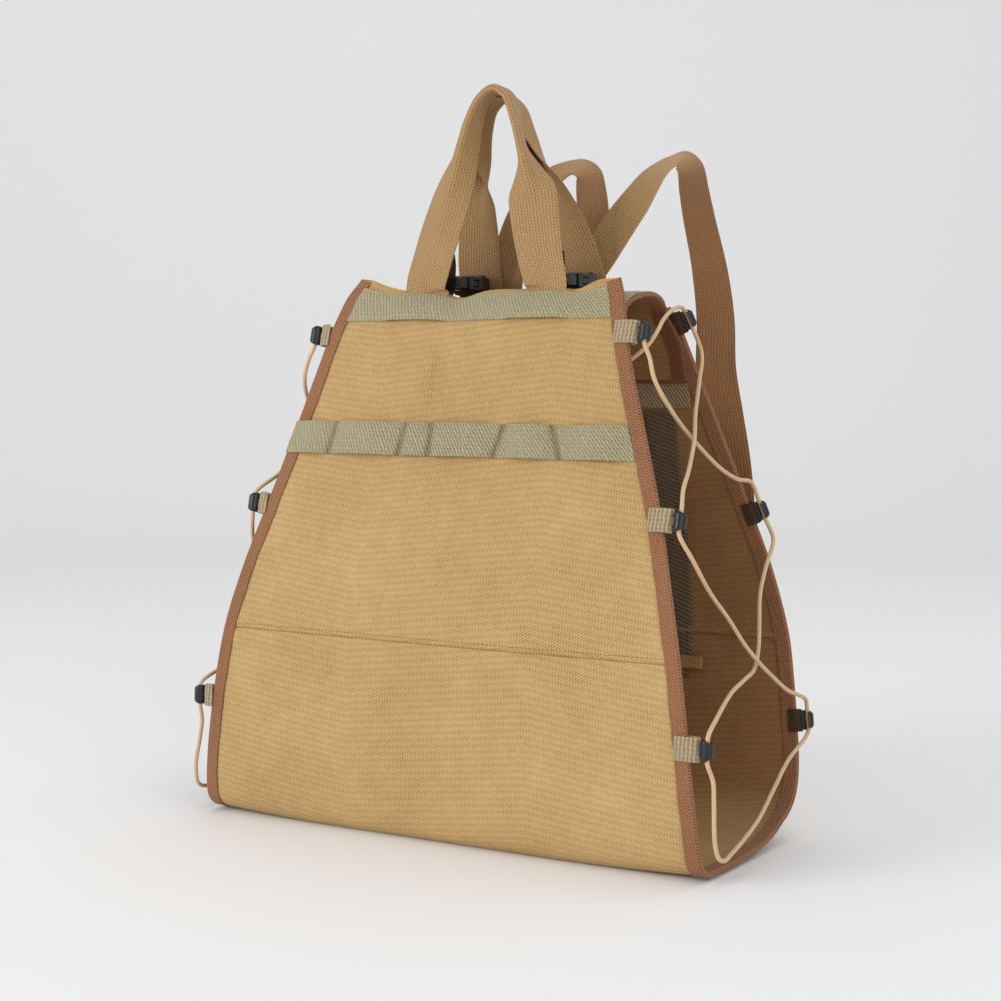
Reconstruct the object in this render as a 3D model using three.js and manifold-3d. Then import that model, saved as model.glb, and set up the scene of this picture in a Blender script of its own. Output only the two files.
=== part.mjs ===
import * as THREE from 'three';
import { mergeVertices } from 'three/addons/utils/BufferGeometryUtils.js';
import Module from 'manifold-3d';

// Canvas log carrier: one long canvas, folded up into a front and a back panel, open at both sides.
// Millimetres. X runs across the panels, Y from front to back, Z up.

// Body of the carrier
const bodyHeight = 424; // ground to the front panel's top corners
const bodyDepth = 190; // front edge of the base to the deepest part of the back panel
const baseHalfWidth = 223; // centre line to the outside of the edge tape, at the base
const canvasThickness = 1.8;
const sewnGap = 0.3; // clearance between pieces that lie on each other
const faceting = 0.5; // more clearance where flat facets lie on a curved panel
const topCurlDepth = 16; // how far the middle of the front panel's top edge leans back
const topCurlDrop = 6; // how far it drops while it leans
const topCurlHeight = 34; // height of the part that leans

// Edge tape, folded round the canvas edge
const tapeThickness = 1;
const tapeReach = 10; // how far it covers each face
const tapeNose = 0.5; // extra thickness at its fold

// Sage webbing bands
const bandHeight = 25;
const bandThickness = 1.3;
const topBandLow = 395; // height of the top band's lower edge
const midBandLow = 291;
const innerBandLow = 325;

// Handles
const handleWidth = 38;
const handleThickness = 1.6;
const handleRise = 155; // top of the front panel to the top of the grip
const handleSpacing = 109; // between the two legs of the front handle
const spineWidth = 2.4; // flat strip in the middle of a folded grip
const sewnLegLength = 28; // back handle's leg below the back panel's top edge

// Shoulder straps
const shoulderWidth = 32;
const shoulderThickness = 1.6;
const shoulderRise = 113; // back panel's top edge to the straps' highest fold
const shoulderReach = 150; // centre line to the straps' lower ends
const shoulderEndLow = 146; // height of their lower ends
const shoulderEndLength = 20; // sewn length there

// Top flap
const flapHalfWidth = 126;
const flapWidening = 10; // of each half where it hangs inside the back panel
const flapGap = 7.4; // middle of the flap to the middle of the back panel behind it

// Side-release buckles
const buckleWidth = 35;
const buckleLength = 46;
const buckleThickness = 10;
const buckleWall = 2;
const buckleWeb = 25; // webbing that it takes
const buckleTurnIn = 5; // how much closer to the centre line a buckle sits than the handle's leg
const buckleDepthAt = 103; // front edge of the base to the buckle's middle
const buckleHeightAt = 425.5; // ground to the buckle's middle
const buckleRest = 0.6; // clearance between plug and socket
const tailLift = 3; // clearance between the front webbing and the panel's top edge
const tailRise = 22; // free end of the front webbing above the buckle's middle
const cornerTabWidth = 12.5;

// Lacing on the side edges
const tabHeight = 16.5;
const tabReachIn = 12;
const tabReachInside = 4; // of the leg on the canvas's inner face
const tabReachOut = { front: 9, back: 4.6 };
const tabSlack = { front: 3.2, back: 0.7 }; // between the edge tape and the tab's narrowing, for a level tab
const tabThickness = 1.2;
const hookHeight = 13.5;
const hookWall = 2.2;
const hookNeckWidth = 7;
const cordDiameter = 3.8;
const hookClearance = 0.5; // round the cord
const cordSides = 7;

// Straps inside, on the back panel
const innerStrapPlace = 110; // centre line to the strap's middle
const innerStrapLow = 112;
const innerTabWidth = 32;
const innerTabHeight = 10;
const innerTabLow = 119;

const wasm = await Module();
wasm.setup();

const carrier = new THREE.Group();

// The side profile, from the front panel's top edge down, along the base and up the back panel.
// depth is a share of bodyDepth, height of bodyHeight, width of baseHalfWidth.
// lift is how far the side edges curl up, a share of bodyHeight.
const sideRows = [
  { depth: 0.321, height: 1.0, width: 0.552, lift: 0 },
  { depth: 0.31, height: 0.967, width: 0.571, lift: 0 },
  { depth: 0.268, height: 0.91, width: 0.601, lift: 0 },
  { depth: 0.229, height: 0.837, width: 0.641, lift: 0 },
  { depth: 0.179, height: 0.715, width: 0.7175, lift: 0 },
  { depth: 0.121, height: 0.592, width: 0.794, lift: 0 },
  { depth: 0.05, height: 0.472, width: 0.861, lift: 0 },
  { depth: 0.0, height: 0.356, width: 0.915, lift: 0 },
  { depth: -0.024, height: 0.222, width: 0.955, lift: 0 },
  { depth: -0.026, height: 0.094, width: 0.984, lift: 0.004 },
  { depth: -0.008, height: 0.026, width: 0.9955, lift: 0.009 },
  { depth: 0.042, height: 0.002, width: 1.0, lift: 0.01 },
  { depth: 0.116, height: 0, width: 1.0, lift: 0.009 },
  { depth: 0.316, height: 0, width: 1.0, lift: 0.008 },
  { depth: 0.5, height: 0, width: 1.0, lift: 0.014 },
  { depth: 0.626, height: 0, width: 0.999, lift: 0.024 },
  { depth: 0.716, height: 0.008, width: 0.9975, lift: 0.031 },
  { depth: 0.795, height: 0.026, width: 0.995, lift: 0.027 },
  { depth: 0.858, height: 0.053, width: 0.991, lift: 0.02 },
  { depth: 0.903, height: 0.089, width: 0.985, lift: 0.013 },
  { depth: 0.934, height: 0.141, width: 0.975, lift: 0.005 },
  { depth: 0.958, height: 0.212, width: 0.957, lift: 0 },
  { depth: 0.979, height: 0.283, width: 0.937, lift: 0 },
  { depth: 0.989, height: 0.356, width: 0.915, lift: 0 },
  { depth: 0.968, height: 0.472, width: 0.861, lift: 0 },
  { depth: 0.908, height: 0.592, width: 0.794, lift: 0 },
  { depth: 0.853, height: 0.715, width: 0.7175, lift: 0 },
  { depth: 0.792, height: 0.837, width: 0.641, lift: 0 },
  { depth: 0.753, height: 0.9, width: 0.605, lift: 0 },
  { depth: 0.726, height: 0.943, width: 0.58, lift: 0 },
  { depth: 0.708, height: 0.964, width: 0.562, lift: 0 },
];
const cornerRound = 0.55; // drop of the back panel's top corners, in rows
const frontSeam = 7;
const backSeam = 23;
const lastRow = sideRows.length - 1;

// Soft dents of the panels: across is a share of the half width, height of bodyHeight, inward of
// bodyDepth; spreads are shares of baseHalfWidth and bodyHeight.
const dentRows = [
  { side: 'front', across: -0.125, height: 0.845, inward: 0.016, spreadX: 0.03, spreadZ: 0.06 },
  { side: 'front', across: 0.25, height: 0.8, inward: -0.012, spreadX: 0.25, spreadZ: 0.08 },
  { side: 'front', across: 0.1, height: 0.45, inward: -0.02, spreadX: 0.5, spreadZ: 0.2 },
  { side: 'front', across: -0.75, height: 0.2, inward: -0.015, spreadX: 0.3, spreadZ: 0.15 },
  { side: 'back', across: 0.1, height: 0.4, inward: -0.03, spreadX: 0.5, spreadZ: 0.25 },
  { side: 'back', across: 0.35, height: 0.75, inward: 0.012, spreadX: 0.2, spreadZ: 0.1 },
];

// Dips of the front panel's top edge beside the buckles: across is a share of the half width there.
const topDips = [
  { across: -0.21, drop: 0.012, spread: 0.06 },
  { across: 0.69, drop: 0.009, spread: 0.06 },
];

// The flap, from its front edge over the arch and down inside the back panel.
const flapRows = [
  { depth: 0.326, height: 0.932 },
  { depth: 0.345, height: 0.95 },
  { depth: 0.387, height: 0.962 },
  { depth: 0.453, height: 0.971 },
  { depth: 0.537, height: 0.976 },
  { depth: 0.61, height: 0.973 },
  { depth: 0.66, height: 0.962 },
];
const flapHangHeights = [0.948, 0.92, 0.873, 0.829]; // where it hangs down the back panel
const flapSag = 0.004; // sag of the arch's middle, a share of bodyHeight
const flapInset = 0.13; // how far back the middle of its front edge lies, a share of bodyDepth

function curveThrough(rows, keys) {
  const points = rows.map((row) => new THREE.Vector3(row[keys[0]], row[keys[1]], row[keys[2]]));
  return new THREE.CatmullRomCurve3(points, false, 'centripetal');
}

const sideCurve = curveThrough(sideRows, ['depth', 'height', 'width']);
const liftCurve = curveThrough(sideRows.map((row, i) => ({ ...row, i: i / lastRow })), ['i', 'lift', 'i']);

const bell = (distance) => Math.exp(-distance * distance);

// Half the canvas's width at station s, which counts the rows of the side profile.
function canvasHalfWidth(s) {
  return sideCurve.getPoint(s / lastRow).z * baseHalfWidth - tapeThickness - tapeNose - sewnGap;
}

// The middle of the canvas at station s and at x millimetres from the centre line.
function bodyPoint(s, x) {
  const roundFrom = backSeam + 5; // the back panel's top corners are round from this row up
  const pastRound = Math.max(0, (s - roundFrom) / (lastRow - roundFrom));
  const intoCorner = pastRound ** 2 * (x / canvasHalfWidth(s)) ** 8;
  const side = sideCurve.getPoint((s - cornerRound * intoCorner) / lastRow);
  const lift = liftCurve.getPoint(s / lastRow).y;
  const across = x / canvasHalfWidth(s);
  const betweenTapes = Math.min(1, Math.abs(x) / (canvasHalfWidth(s) - tapeReach));
  const flatShare = 0.35;
  const curl = Math.max(0, (Math.abs(across) - flatShare) / (1 - flatShare)) ** 2.2;
  let y = side.x * bodyDepth;
  let z = side.y * bodyHeight + lift * bodyHeight * curl;
  const onFront = s < frontSeam;
  for (const dent of dentRows) {
    if ((dent.side === 'front' && s > 12) || (dent.side === 'back' && s < 16)) continue;
    const fromX = (x - dent.across * baseHalfWidth) / (dent.spreadX * baseHalfWidth);
    const fromZ = (side.y - dent.height) / dent.spreadZ;
    const edgeFade = (1 - betweenTapes ** 6) ** 2;
    const inward = dent.inward * bodyDepth * bell(Math.hypot(fromX, fromZ)) * edgeFade;
    y += dent.side === 'front' ? inward : -inward;
  }
  if (onFront) {
    const up = Math.max(0, 1 - (1 - side.y) * bodyHeight / topCurlHeight);
    const middle = (1 - betweenTapes ** 6) ** 2;
    y += topCurlDepth * up * up * middle;
    z -= topCurlDrop * up * up * middle;
    for (const dip of topDips) {
      z -= dip.drop * bodyHeight * up * middle * bell((across - dip.across) / (2 * dip.spread));
    }
  }
  return new THREE.Vector3(x, y, z);
}

// The canvas's outward direction, square to its surface.
function bodyNormal(s, x) {
  const step = 0.02;
  const low = Math.max(0, s - step);
  const high = Math.min(lastRow, s + step);
  const along = bodyPoint(high, x).sub(bodyPoint(low, x));
  const across = bodyPoint(s, x + 1).sub(bodyPoint(s, x - 1));
  return across.cross(along).normalize().negate();
}

// The station on the front or the back panel whose canvas is at a given height.
function stationAt(height, side) {
  let low = side === 'front' ? 0 : lastRow;
  let high = side === 'front' ? frontSeam + 3 : backSeam - 3;
  for (let i = 0; i < 40; i += 1) {
    const middle = (low + high) / 2;
    if (sideCurve.getPoint(middle / lastRow).y * bodyHeight > height) low = middle;
    else high = middle;
  }
  return (low + high) / 2;
}

// The station reached from s by a length of canvas, upwards.
function stationAbove(s, length, side) {
  const step = side === 'front' ? -0.01 : 0.01;
  let station = s;
  let walked = 0;
  while (walked < length && station > 0 && station < lastRow) {
    const next = station + step;
    walked += bodyPoint(next, 0).distanceTo(bodyPoint(station, 0));
    station = next;
  }
  return station;
}

function signedVolume(positions, triangles) {
  let volume = 0;
  for (let i = 0; i < triangles.length; i += 3) {
    const [a, b, c] = [0, 1, 2].map((k) => positions[triangles[i + k]]);
    volume += a.dot(b.clone().cross(c)) / 6;
  }
  return volume;
}

function closedGeometry(positions, triangles) {
  if (signedVolume(positions, triangles) < 0) triangles.reverse();
  const geometry = new THREE.BufferGeometry();
  const numbers = positions.flatMap((point) => [point.x, point.y, point.z]);
  geometry.setAttribute('position', new THREE.Float32BufferAttribute(numbers, 3));
  geometry.setIndex(triangles);
  return geometry;
}

// A cloth wall: grid[row][column] holds the middle of the cloth, which gets half its thickness on each side.
function clothWall(grid, thickness) {
  const rows = grid.length;
  const columns = grid[0].length;
  const positions = [];
  const normals = [];
  for (let i = 0; i < rows; i += 1) {
    for (let j = 0; j < columns; j += 1) {
      const down = grid[Math.min(i + 1, rows - 1)][j].clone().sub(grid[Math.max(i - 1, 0)][j]);
      const right = grid[i][Math.min(j + 1, columns - 1)].clone().sub(grid[i][Math.max(j - 1, 0)]);
      normals.push(right.cross(down).normalize());
    }
  }
  for (const sign of [1, -1]) {
    grid.flat().forEach((point, k) => {
      positions.push(point.clone().addScaledVector(normals[k], sign * thickness / 2));
    });
  }
  const other = rows * columns;
  const triangles = [];
  const quad = (a, b, c, d) => triangles.push(a, b, c, a, c, d);
  for (let i = 0; i < rows - 1; i += 1) {
    for (let j = 0; j < columns - 1; j += 1) {
      const k = i * columns + j;
      quad(k, k + columns, k + columns + 1, k + 1);
      quad(other + k, other + k + 1, other + k + columns + 1, other + k + columns);
    }
  }
  for (let j = 0; j < columns - 1; j += 1) {
    const last = (rows - 1) * columns + j;
    quad(j, j + 1, other + j + 1, other + j);
    quad(last + 1, last, other + last, other + last + 1);
  }
  for (let i = 0; i < rows - 1; i += 1) {
    const left = i * columns;
    const right = left + columns - 1;
    quad(left + columns, left, other + left, other + left + columns);
    quad(right, right + columns, other + right + columns, other + right);
  }
  return closedGeometry(positions, triangles);
}

// A closed section carried through frames: each frame has an origin, two axes and its own outline.
function carriedSection(frames) {
  const count = frames[0].outline.length;
  const positions = [];
  const triangles = [];
  for (const frame of frames) {
    for (const [first, second] of frame.outline) {
      const point = frame.origin.clone().addScaledVector(frame.first, first);
      positions.push(point.addScaledVector(frame.second, second));
    }
  }
  for (let i = 0; i < frames.length - 1; i += 1) {
    for (let j = 0; j < count; j += 1) {
      const a = i * count + j;
      const b = i * count + (j + 1) % count;
      // walls that lie back to back are split along the same diagonal, so a twisted strap doesn't cross itself
      if (Math.floor(j / 2) % 2) triangles.push(a, b, a + count, b, b + count, a + count);
      else triangles.push(a, b, b + count, a, b + count, a + count);
    }
  }
  const flat = (frame) => frame.outline.map(([x, y]) => new THREE.Vector2(x, y));
  const cap = (frame) => THREE.ShapeUtils.triangulateShape(flat(frame), []);
  const last = (frames.length - 1) * count;
  const turnsLeft = THREE.ShapeUtils.area(flat(frames[0])) > 0;
  for (const [a, b, c] of cap(frames[0])) triangles.push(...(turnsLeft ? [a, c, b] : [a, b, c]));
  for (const [a, b, c] of cap(frames[frames.length - 1])) {
    triangles.push(...(turnsLeft ? [a, b, c] : [a, c, b]).map((k) => k + last));
  }
  return closedGeometry(positions, triangles);
}

const rectangle = (width, height) => [
  [-width / 2, -height / 2],
  [width / 2, -height / 2],
  [width / 2, height / 2],
  [-width / 2, height / 2],
];

const finishes = {
  canvas: { color: 0xc8a569, roughness: 0.9, metalness: 0 },
  tape: { color: 0xa86f4b, roughness: 0.85, metalness: 0 },
  sage: { color: 0xafaa87, roughness: 0.85, metalness: 0 },
  tan: { color: 0xbe9b64, roughness: 0.85, metalness: 0 },
  dark: { color: 0x4a3524, roughness: 0.88, metalness: 0 },
  cord: { color: 0xe6cdaa, roughness: 0.75, metalness: 0 },
  plastic: { color: 0x1b1c20, roughness: 0.35, metalness: 0 },
};

function addPiece(name, geometry, finish) {
  const mesh = new THREE.Mesh(geometry, new THREE.MeshStandardMaterial(finishes[finish]));
  mesh.name = name;
  carrier.add(mesh);
  return mesh;
}

// Panels

const seamShift = 0.003; // half the gap of a seam, in stations
const panels = [
  {
    name: 'front_panel',
    stations: [0, 0.5, 1, 1.5, 2, 2.5, 3, 3.5, 4, 5, 6, frontSeam - seamShift],
    shares: [-1, -0.85, -0.68, -0.5, -0.36, -0.28, -0.2, -0.11, 0, 0.17, 0.34, 0.5, 0.62, 0.7, 0.78, 0.88,
      1],
  },
  {
    name: 'base_panel',
    stations: [frontSeam + seamShift, 8, 9, 9.6, 10.2, 10.7, 11.2, 12, 13, 14, 15, 15.5, 16, 16.5, 17,
      17.5, 18, 18.5, 19, 19.5, 20, 21, 22, backSeam - seamShift],
    shares: [-1, -0.82, -0.6, -0.35, 0, 0.35, 0.6, 0.82, 1],
  },
  {
    name: 'back_panel',
    stations: [backSeam + seamShift, 24, 25, 26, 27, 28, 28.6, 29.2, 29.6, lastRow],
    shares: [-1, -0.82, -0.6, -0.35, 0, 0.35, 0.6, 0.82, 1],
  },
];

// A panel's grid has a column at each canvas edge and the rest at shares of the width between the tapes.
for (const panel of panels) {
  panel.grid = panel.stations.map((s) => {
    const edge = canvasHalfWidth(s);
    const places = [-edge, ...panel.shares.map((share) => share * (edge - tapeReach)), edge];
    return places.map((x) => bodyPoint(s, x));
  });
}

const panelAt = (s) => panels[s <= frontSeam ? 0 : s < backSeam ? 1 : 2];

// The point of a polyline of grid points at x.
function onRow(row, x) {
  const inside = row.findIndex((point, k) => k > 0 && point.x >= x);
  const right = inside < 1 ? row.length - 1 : inside;
  const share = (x - row[right - 1].x) / (row[right].x - row[right - 1].x);
  return row[right - 1].clone().lerp(row[right], share);
}

// The point on the panel's own facets at station s and x.
function facetPoint(s, x) {
  const { stations, grid } = panelAt(s);
  const above = stations.findIndex((station, k) => k > 0 && station >= s);
  const high = above < 1 ? stations.length - 1 : above;
  const share = (s - stations[high - 1]) / (stations[high] - stations[high - 1]);
  return onRow(grid[high - 1], x).lerp(onRow(grid[high], x), share);
}

function addPanels() {
  for (const panel of panels) addPiece(panel.name, clothWall(panel.grid, canvasThickness), 'canvas');
}

// Edge tape: a channel round the canvas edge. The first axis of its plane points out of the edge, the second
// squarely away from the cloth.
function tapeOutline() {
  const inside = canvasThickness / 2 + sewnGap;
  const outside = inside + tapeThickness;
  const nose = sewnGap + tapeThickness;
  return [
    [-tapeReach + sewnGap, outside],
    [nose, outside],
    [nose + tapeNose, 0],
    [nose, -outside],
    [-tapeReach + sewnGap, -outside],
    [-tapeReach + sewnGap, -inside],
    [sewnGap, -inside],
    [sewnGap, inside],
    [-tapeReach + sewnGap, inside],
  ];
}

function tapeFrames(edges, inners) {
  const last = edges.length - 1;
  return edges.map((edge, i) => {
    const along = edges[Math.min(i + 1, last)].clone().sub(edges[Math.max(i - 1, 0)]).normalize();
    const out = edge.clone().sub(inners[i]).normalize();
    const first = out.addScaledVector(along, -out.dot(along)).normalize();
    const second = along.clone().cross(first).normalize();
    return { origin: edge, first, second, outline: tapeOutline() };
  });
}

function addTapes() {
  const seamRows = [frontSeam, backSeam];
  const offSeams = (s) => seamRows.every((row) => Math.abs(s - row) > 0.1);
  const stations = [...panels.flatMap((panel) => panel.stations).filter(offSeams), ...seamRows];
  stations.sort((a, b) => a - b);
  for (const [sideName, sign] of [['left', -1], ['right', 1]]) {
    const edges = stations.map((s) => bodyPoint(s, sign * canvasHalfWidth(s)));
    const inners = stations.map((s) => bodyPoint(s, sign * (canvasHalfWidth(s) - tapeReach)));
    addPiece(`edge_tape_${sideName}`, carriedSection(tapeFrames(edges, inners)), 'tape');
  }
}

// Flap

const flapHangRows = flapHangHeights.map((height) => {
  const s = stationAt(height * bodyHeight, 'back');
  const point = bodyPoint(s, flapHalfWidth * 0.9).addScaledVector(bodyNormal(s, 0), -flapGap);
  return { depth: point.y / bodyDepth, height: point.z / bodyHeight };
});
const allFlapRows = [...flapRows, ...flapHangRows].map((row) => ({ ...row, none: 0 }));
const flapCurve = curveThrough(allFlapRows, ['depth', 'height', 'none']);
const lastFlapRow = allFlapRows.length - 1;
const flapCanvasHalfWidth = flapHalfWidth - tapeThickness - tapeNose - sewnGap;
const hangingRow = 7; // the rows past it get wider
const flapHalfAt = (s) => {
  return flapCanvasHalfWidth + flapWidening * THREE.MathUtils.smoothstep(s, hangingRow, lastFlapRow - 1);
};
const insetRows = 5; // rows over which the middle of the front edge lies further back
const flapStations = [0, 0.5, 1, 1.5, 2, 3, 4, 5, 5.5, 6, 6.5, 7, 8, 9, lastFlapRow];
const flapShares = [-1, -0.8, -0.42, 0.42, 0.8, 1];

function flapPoint(s, x) {
  const side = flapCurve.getPoint(s / lastFlapRow);
  const betweenTapes = Math.min(1, Math.abs(x) / (flapHalfAt(s) - tapeReach));
  const onArch = Math.max(0, 1 - s / insetRows);
  const middle = (1 - betweenTapes ** 4) ** 2;
  const y = side.x + flapInset * middle * onArch;
  const z = side.y - flapSag * middle * onArch;
  return new THREE.Vector3(x, y * bodyDepth, z * bodyHeight);
}

function addFlap() {
  const grid = flapStations.map((s) => {
    const half = flapHalfAt(s);
    const places = [-half, ...flapShares.map((share) => share * (half - tapeReach)), half];
    return places.map((x) => flapPoint(s, x));
  });
  addPiece('top_flap', clothWall(grid, canvasThickness), 'canvas');
  for (const [name, sign] of [['flap_tape_left', -1], ['flap_tape_right', 1]]) {
    const edges = flapStations.map((s) => flapPoint(s, sign * flapHalfAt(s)));
    const inners = flapStations.map((s) => flapPoint(s, sign * (flapHalfAt(s) - tapeReach)));
    addPiece(name, carriedSection(tapeFrames(edges, inners)), 'tape');
  }
}

// Webbing sewn on a panel

// Stations from low to high, with every row of the panels' own grids between them.
function sewnStations(low, high) {
  const [first, last] = low < high ? [low, high] : [high, low];
  const between = panels.flatMap((panel) => panel.stations).filter((s) => s > first + 0.1 && s < last - 0.1);
  return [first, ...between, last].filter((s, k, all) => k === 0 || s - all[k - 1] > 0.02);
}

// Places across, with every column of the panel's grid between them at the band's middle.
function sewnPlaces(places, s) {
  const row = panelAt(s).grid[panelAt(s).stations.findIndex((station) => station >= s - 0.5)];
  const [left, right] = [Math.min(...places), Math.max(...places)];
  const columns = row.map((point) => point.x).filter((x) => x > left + 2 && x < right - 2);
  const all = [...places, ...columns].sort((a, b) => a - b);
  return all.filter((x, k) => k === 0 || x - all[k - 1] > 1.2);
}

// A band's grid on a panel: away gives the distance from the canvas's face to the band's at x, and face is
// 1 for the outer face of the canvas and -1 for the inner one.
function bandGrid(low, high, placesAt, thickness, away, face) {
  return sewnStations(low, high).map((s) => placesAt(s).map((x) => {
    const distance = canvasThickness / 2 + sewnGap + thickness / 2 + away(x);
    return facetPoint(s, x).addScaledVector(bodyNormal(s, x), face * distance);
  }));
}

const legReach = handleWidth / 2;
const legMiddle = handleSpacing / 2;
const legMargin = 1.5; // from a leg's side to where the band starts to slope down
const bumpSlope = 4; // run of that slope

const legBump = (x, middle) => {
  const outside = Math.max(0, Math.abs(x - middle) - legReach - legMargin) / bumpSlope;
  return faceting / 2 + (handleThickness + 2 * sewnGap + 2.8 * faceting) * Math.max(0, 1 - outside);
};

const topBandStation = stationAt(topBandLow, 'front');
const topBandTop = stationAbove(topBandStation, bandHeight, 'front');

function addTopBand() {
  const half = canvasHalfWidth(topBandTop) - tapeReach - sewnGap;
  const besideLeg = legReach + legMargin;
  const reaches = [-besideLeg - bumpSlope, -besideLeg, 0, besideLeg, besideLeg + bumpSlope];
  const besideLegs = [-legMiddle, legMiddle].flatMap((x) => reaches.map((reach) => x + reach));
  const places = sewnPlaces([-half, ...besideLegs, half], topBandStation);
  const away = (x) => Math.max(legBump(x, -legMiddle), legBump(x, legMiddle));
  const grid = bandGrid(topBandStation, topBandTop, () => places, bandThickness, away, 1);
  addPiece('top_band', clothWall(grid, bandThickness), 'sage');
}

// Loops of the middle band: start and end are shares of its length from the left, rise is the loop's height
// as a share of bandHeight.
const loopRows = [
  { start: 0.03, end: 0.13, rise: 0.14 },
  { start: 0.135, end: 0.345, rise: 0.17 },
  { start: 0.35, end: 0.43, rise: 0.1 },
  { start: 0.435, end: 0.615, rise: 0.16 },
  { start: 0.655, end: 0.775, rise: 0.17 },
  { start: 0.815, end: 0.985, rise: 0.12 },
];

function addMidBand() {
  const low = stationAt(midBandLow, 'front');
  const high = stationAbove(low, bandHeight, 'front');
  const leftAt = (s) => -canvasHalfWidth(s) - tapeThickness;
  const rightAt = (s) => canvasHalfWidth(s) - tapeReach - sewnGap;
  const parts = [0, 0.15, 0.4, 0.6, 0.85, 1];
  const shares = loopRows.flatMap(({ start, end }) => parts.map((part) => start + (end - start) * part));
  const tapeShare = (tapeReach + tapeThickness + sewnGap) / (rightAt(low) - leftAt(low));
  const sorted = [0, tapeShare, 1, ...shares].sort((a, b) => a - b);
  const spaced = sorted.filter((share, k) => k === 0 || share - sorted[k - 1] > 0.004);
  const placesAt = (s) => spaced.map((share) => leftAt(s) + share * (rightAt(s) - leftAt(s)));
  const lengthAtLow = rightAt(low) - leftAt(low);
  const away = (x) => {
    const place = (x - leftAt(low)) / lengthAtLow;
    let offset = 0.2;
    for (const loop of loopRows) {
      const share = (place - loop.start) / (loop.end - loop.start);
      if (share > 0 && share < 1) offset += loop.rise * bandHeight * Math.sin(Math.PI * share) ** 0.6;
    }
    const pastTape = Math.max(0, x - leftAt(low) - tapeReach - 3 * tapeThickness - tapeNose);
    const overTape = (tapeThickness + 2 * sewnGap) * Math.sqrt(Math.max(0, 1 - pastTape / tapeReach));
    return Math.max(offset, overTape);
  };
  const grid = bandGrid(low, high, placesAt, bandThickness, away, 1);
  addPiece('mid_band', clothWall(grid, bandThickness), 'sage');
}

// Straps on the back panel's inner face: a band across, two straps down from it, a short strap over each.
function addInnerStraps() {
  const bandLow = stationAt(innerBandLow, 'back');
  const bandTop = stationAbove(bandLow, bandHeight, 'back');
  const half = canvasHalfWidth(bandTop) - tapeReach - sewnGap;
  const flat = () => 0;
  const places = sewnPlaces([-half, half], bandLow);
  const band = bandGrid(bandLow, bandTop, () => places, bandThickness, flat, -1);
  addPiece('inner_band', clothWall(band, bandThickness), 'sage');
  const strapLow = stationAt(innerStrapLow, 'back');
  const strapTop = stationAt(innerBandLow - 2 * sewnGap, 'back');
  const tabLow = stationAt(innerTabLow, 'back');
  const tabTop = stationAbove(tabLow, innerTabHeight, 'back');
  for (const [sideName, sign] of [['left', -1], ['right', 1]]) {
    const middle = sign * innerStrapPlace;
    const strapPlaces = [middle - bandHeight / 2, middle, middle + bandHeight / 2];
    const strap = bandGrid(strapLow, strapTop, () => strapPlaces, bandThickness, () => sewnGap, -1);
    addPiece(`inner_strap_${sideName}`, clothWall(strap, bandThickness), 'sage');
    const over = () => bandThickness + 2.5 * sewnGap;
    const tabPlaces = [-1, 0, 1].map((share) => middle + share * innerTabWidth / 2);
    const tab = bandGrid(tabLow, tabTop, () => tabPlaces, bandThickness, over, -1);
    addPiece(`inner_strap_tab_${sideName}`, clothWall(tab, bandThickness), 'tan');
  }
}

// Handles

// Section of handle webbing: fold 0 is flat, fold 1 is folded in two along its middle. The first axis
// points from the fold into the opening, the second across.
function handleOutline(fold) {
  const opening = THREE.MathUtils.degToRad(90 - 86 * fold);
  const spine = spineWidth / 2;
  const wing = handleWidth / 2 - spine;
  const half = handleThickness / 2;
  const shift = -wing * Math.cos(opening) / 2;
  const side = (sign) => {
    const along = new THREE.Vector2(Math.cos(opening), sign * Math.sin(opening));
    const inward = new THREE.Vector2(Math.sin(opening), -sign * Math.cos(opening));
    const corner = new THREE.Vector2(shift, sign * spine);
    const mitre = new THREE.Vector2(1, 0).add(inward).divideScalar(1 + inward.x).multiplyScalar(half);
    const tip = corner.clone().addScaledVector(along, wing);
    return {
      tipOut: tip.clone().addScaledVector(inward, -half),
      cornerOut: corner.clone().sub(mitre),
      cornerIn: corner.clone().add(mitre),
      tipIn: tip.clone().addScaledVector(inward, half),
    };
  };
  const left = side(-1);
  const right = side(1);
  const outside = [left.tipOut, left.cornerOut, right.cornerOut, right.tipOut];
  const inside = [right.tipIn, right.cornerIn, left.cornerIn, left.tipIn];
  return [...outside, ...inside].map((point) => [point.x, point.y]);
}

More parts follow.
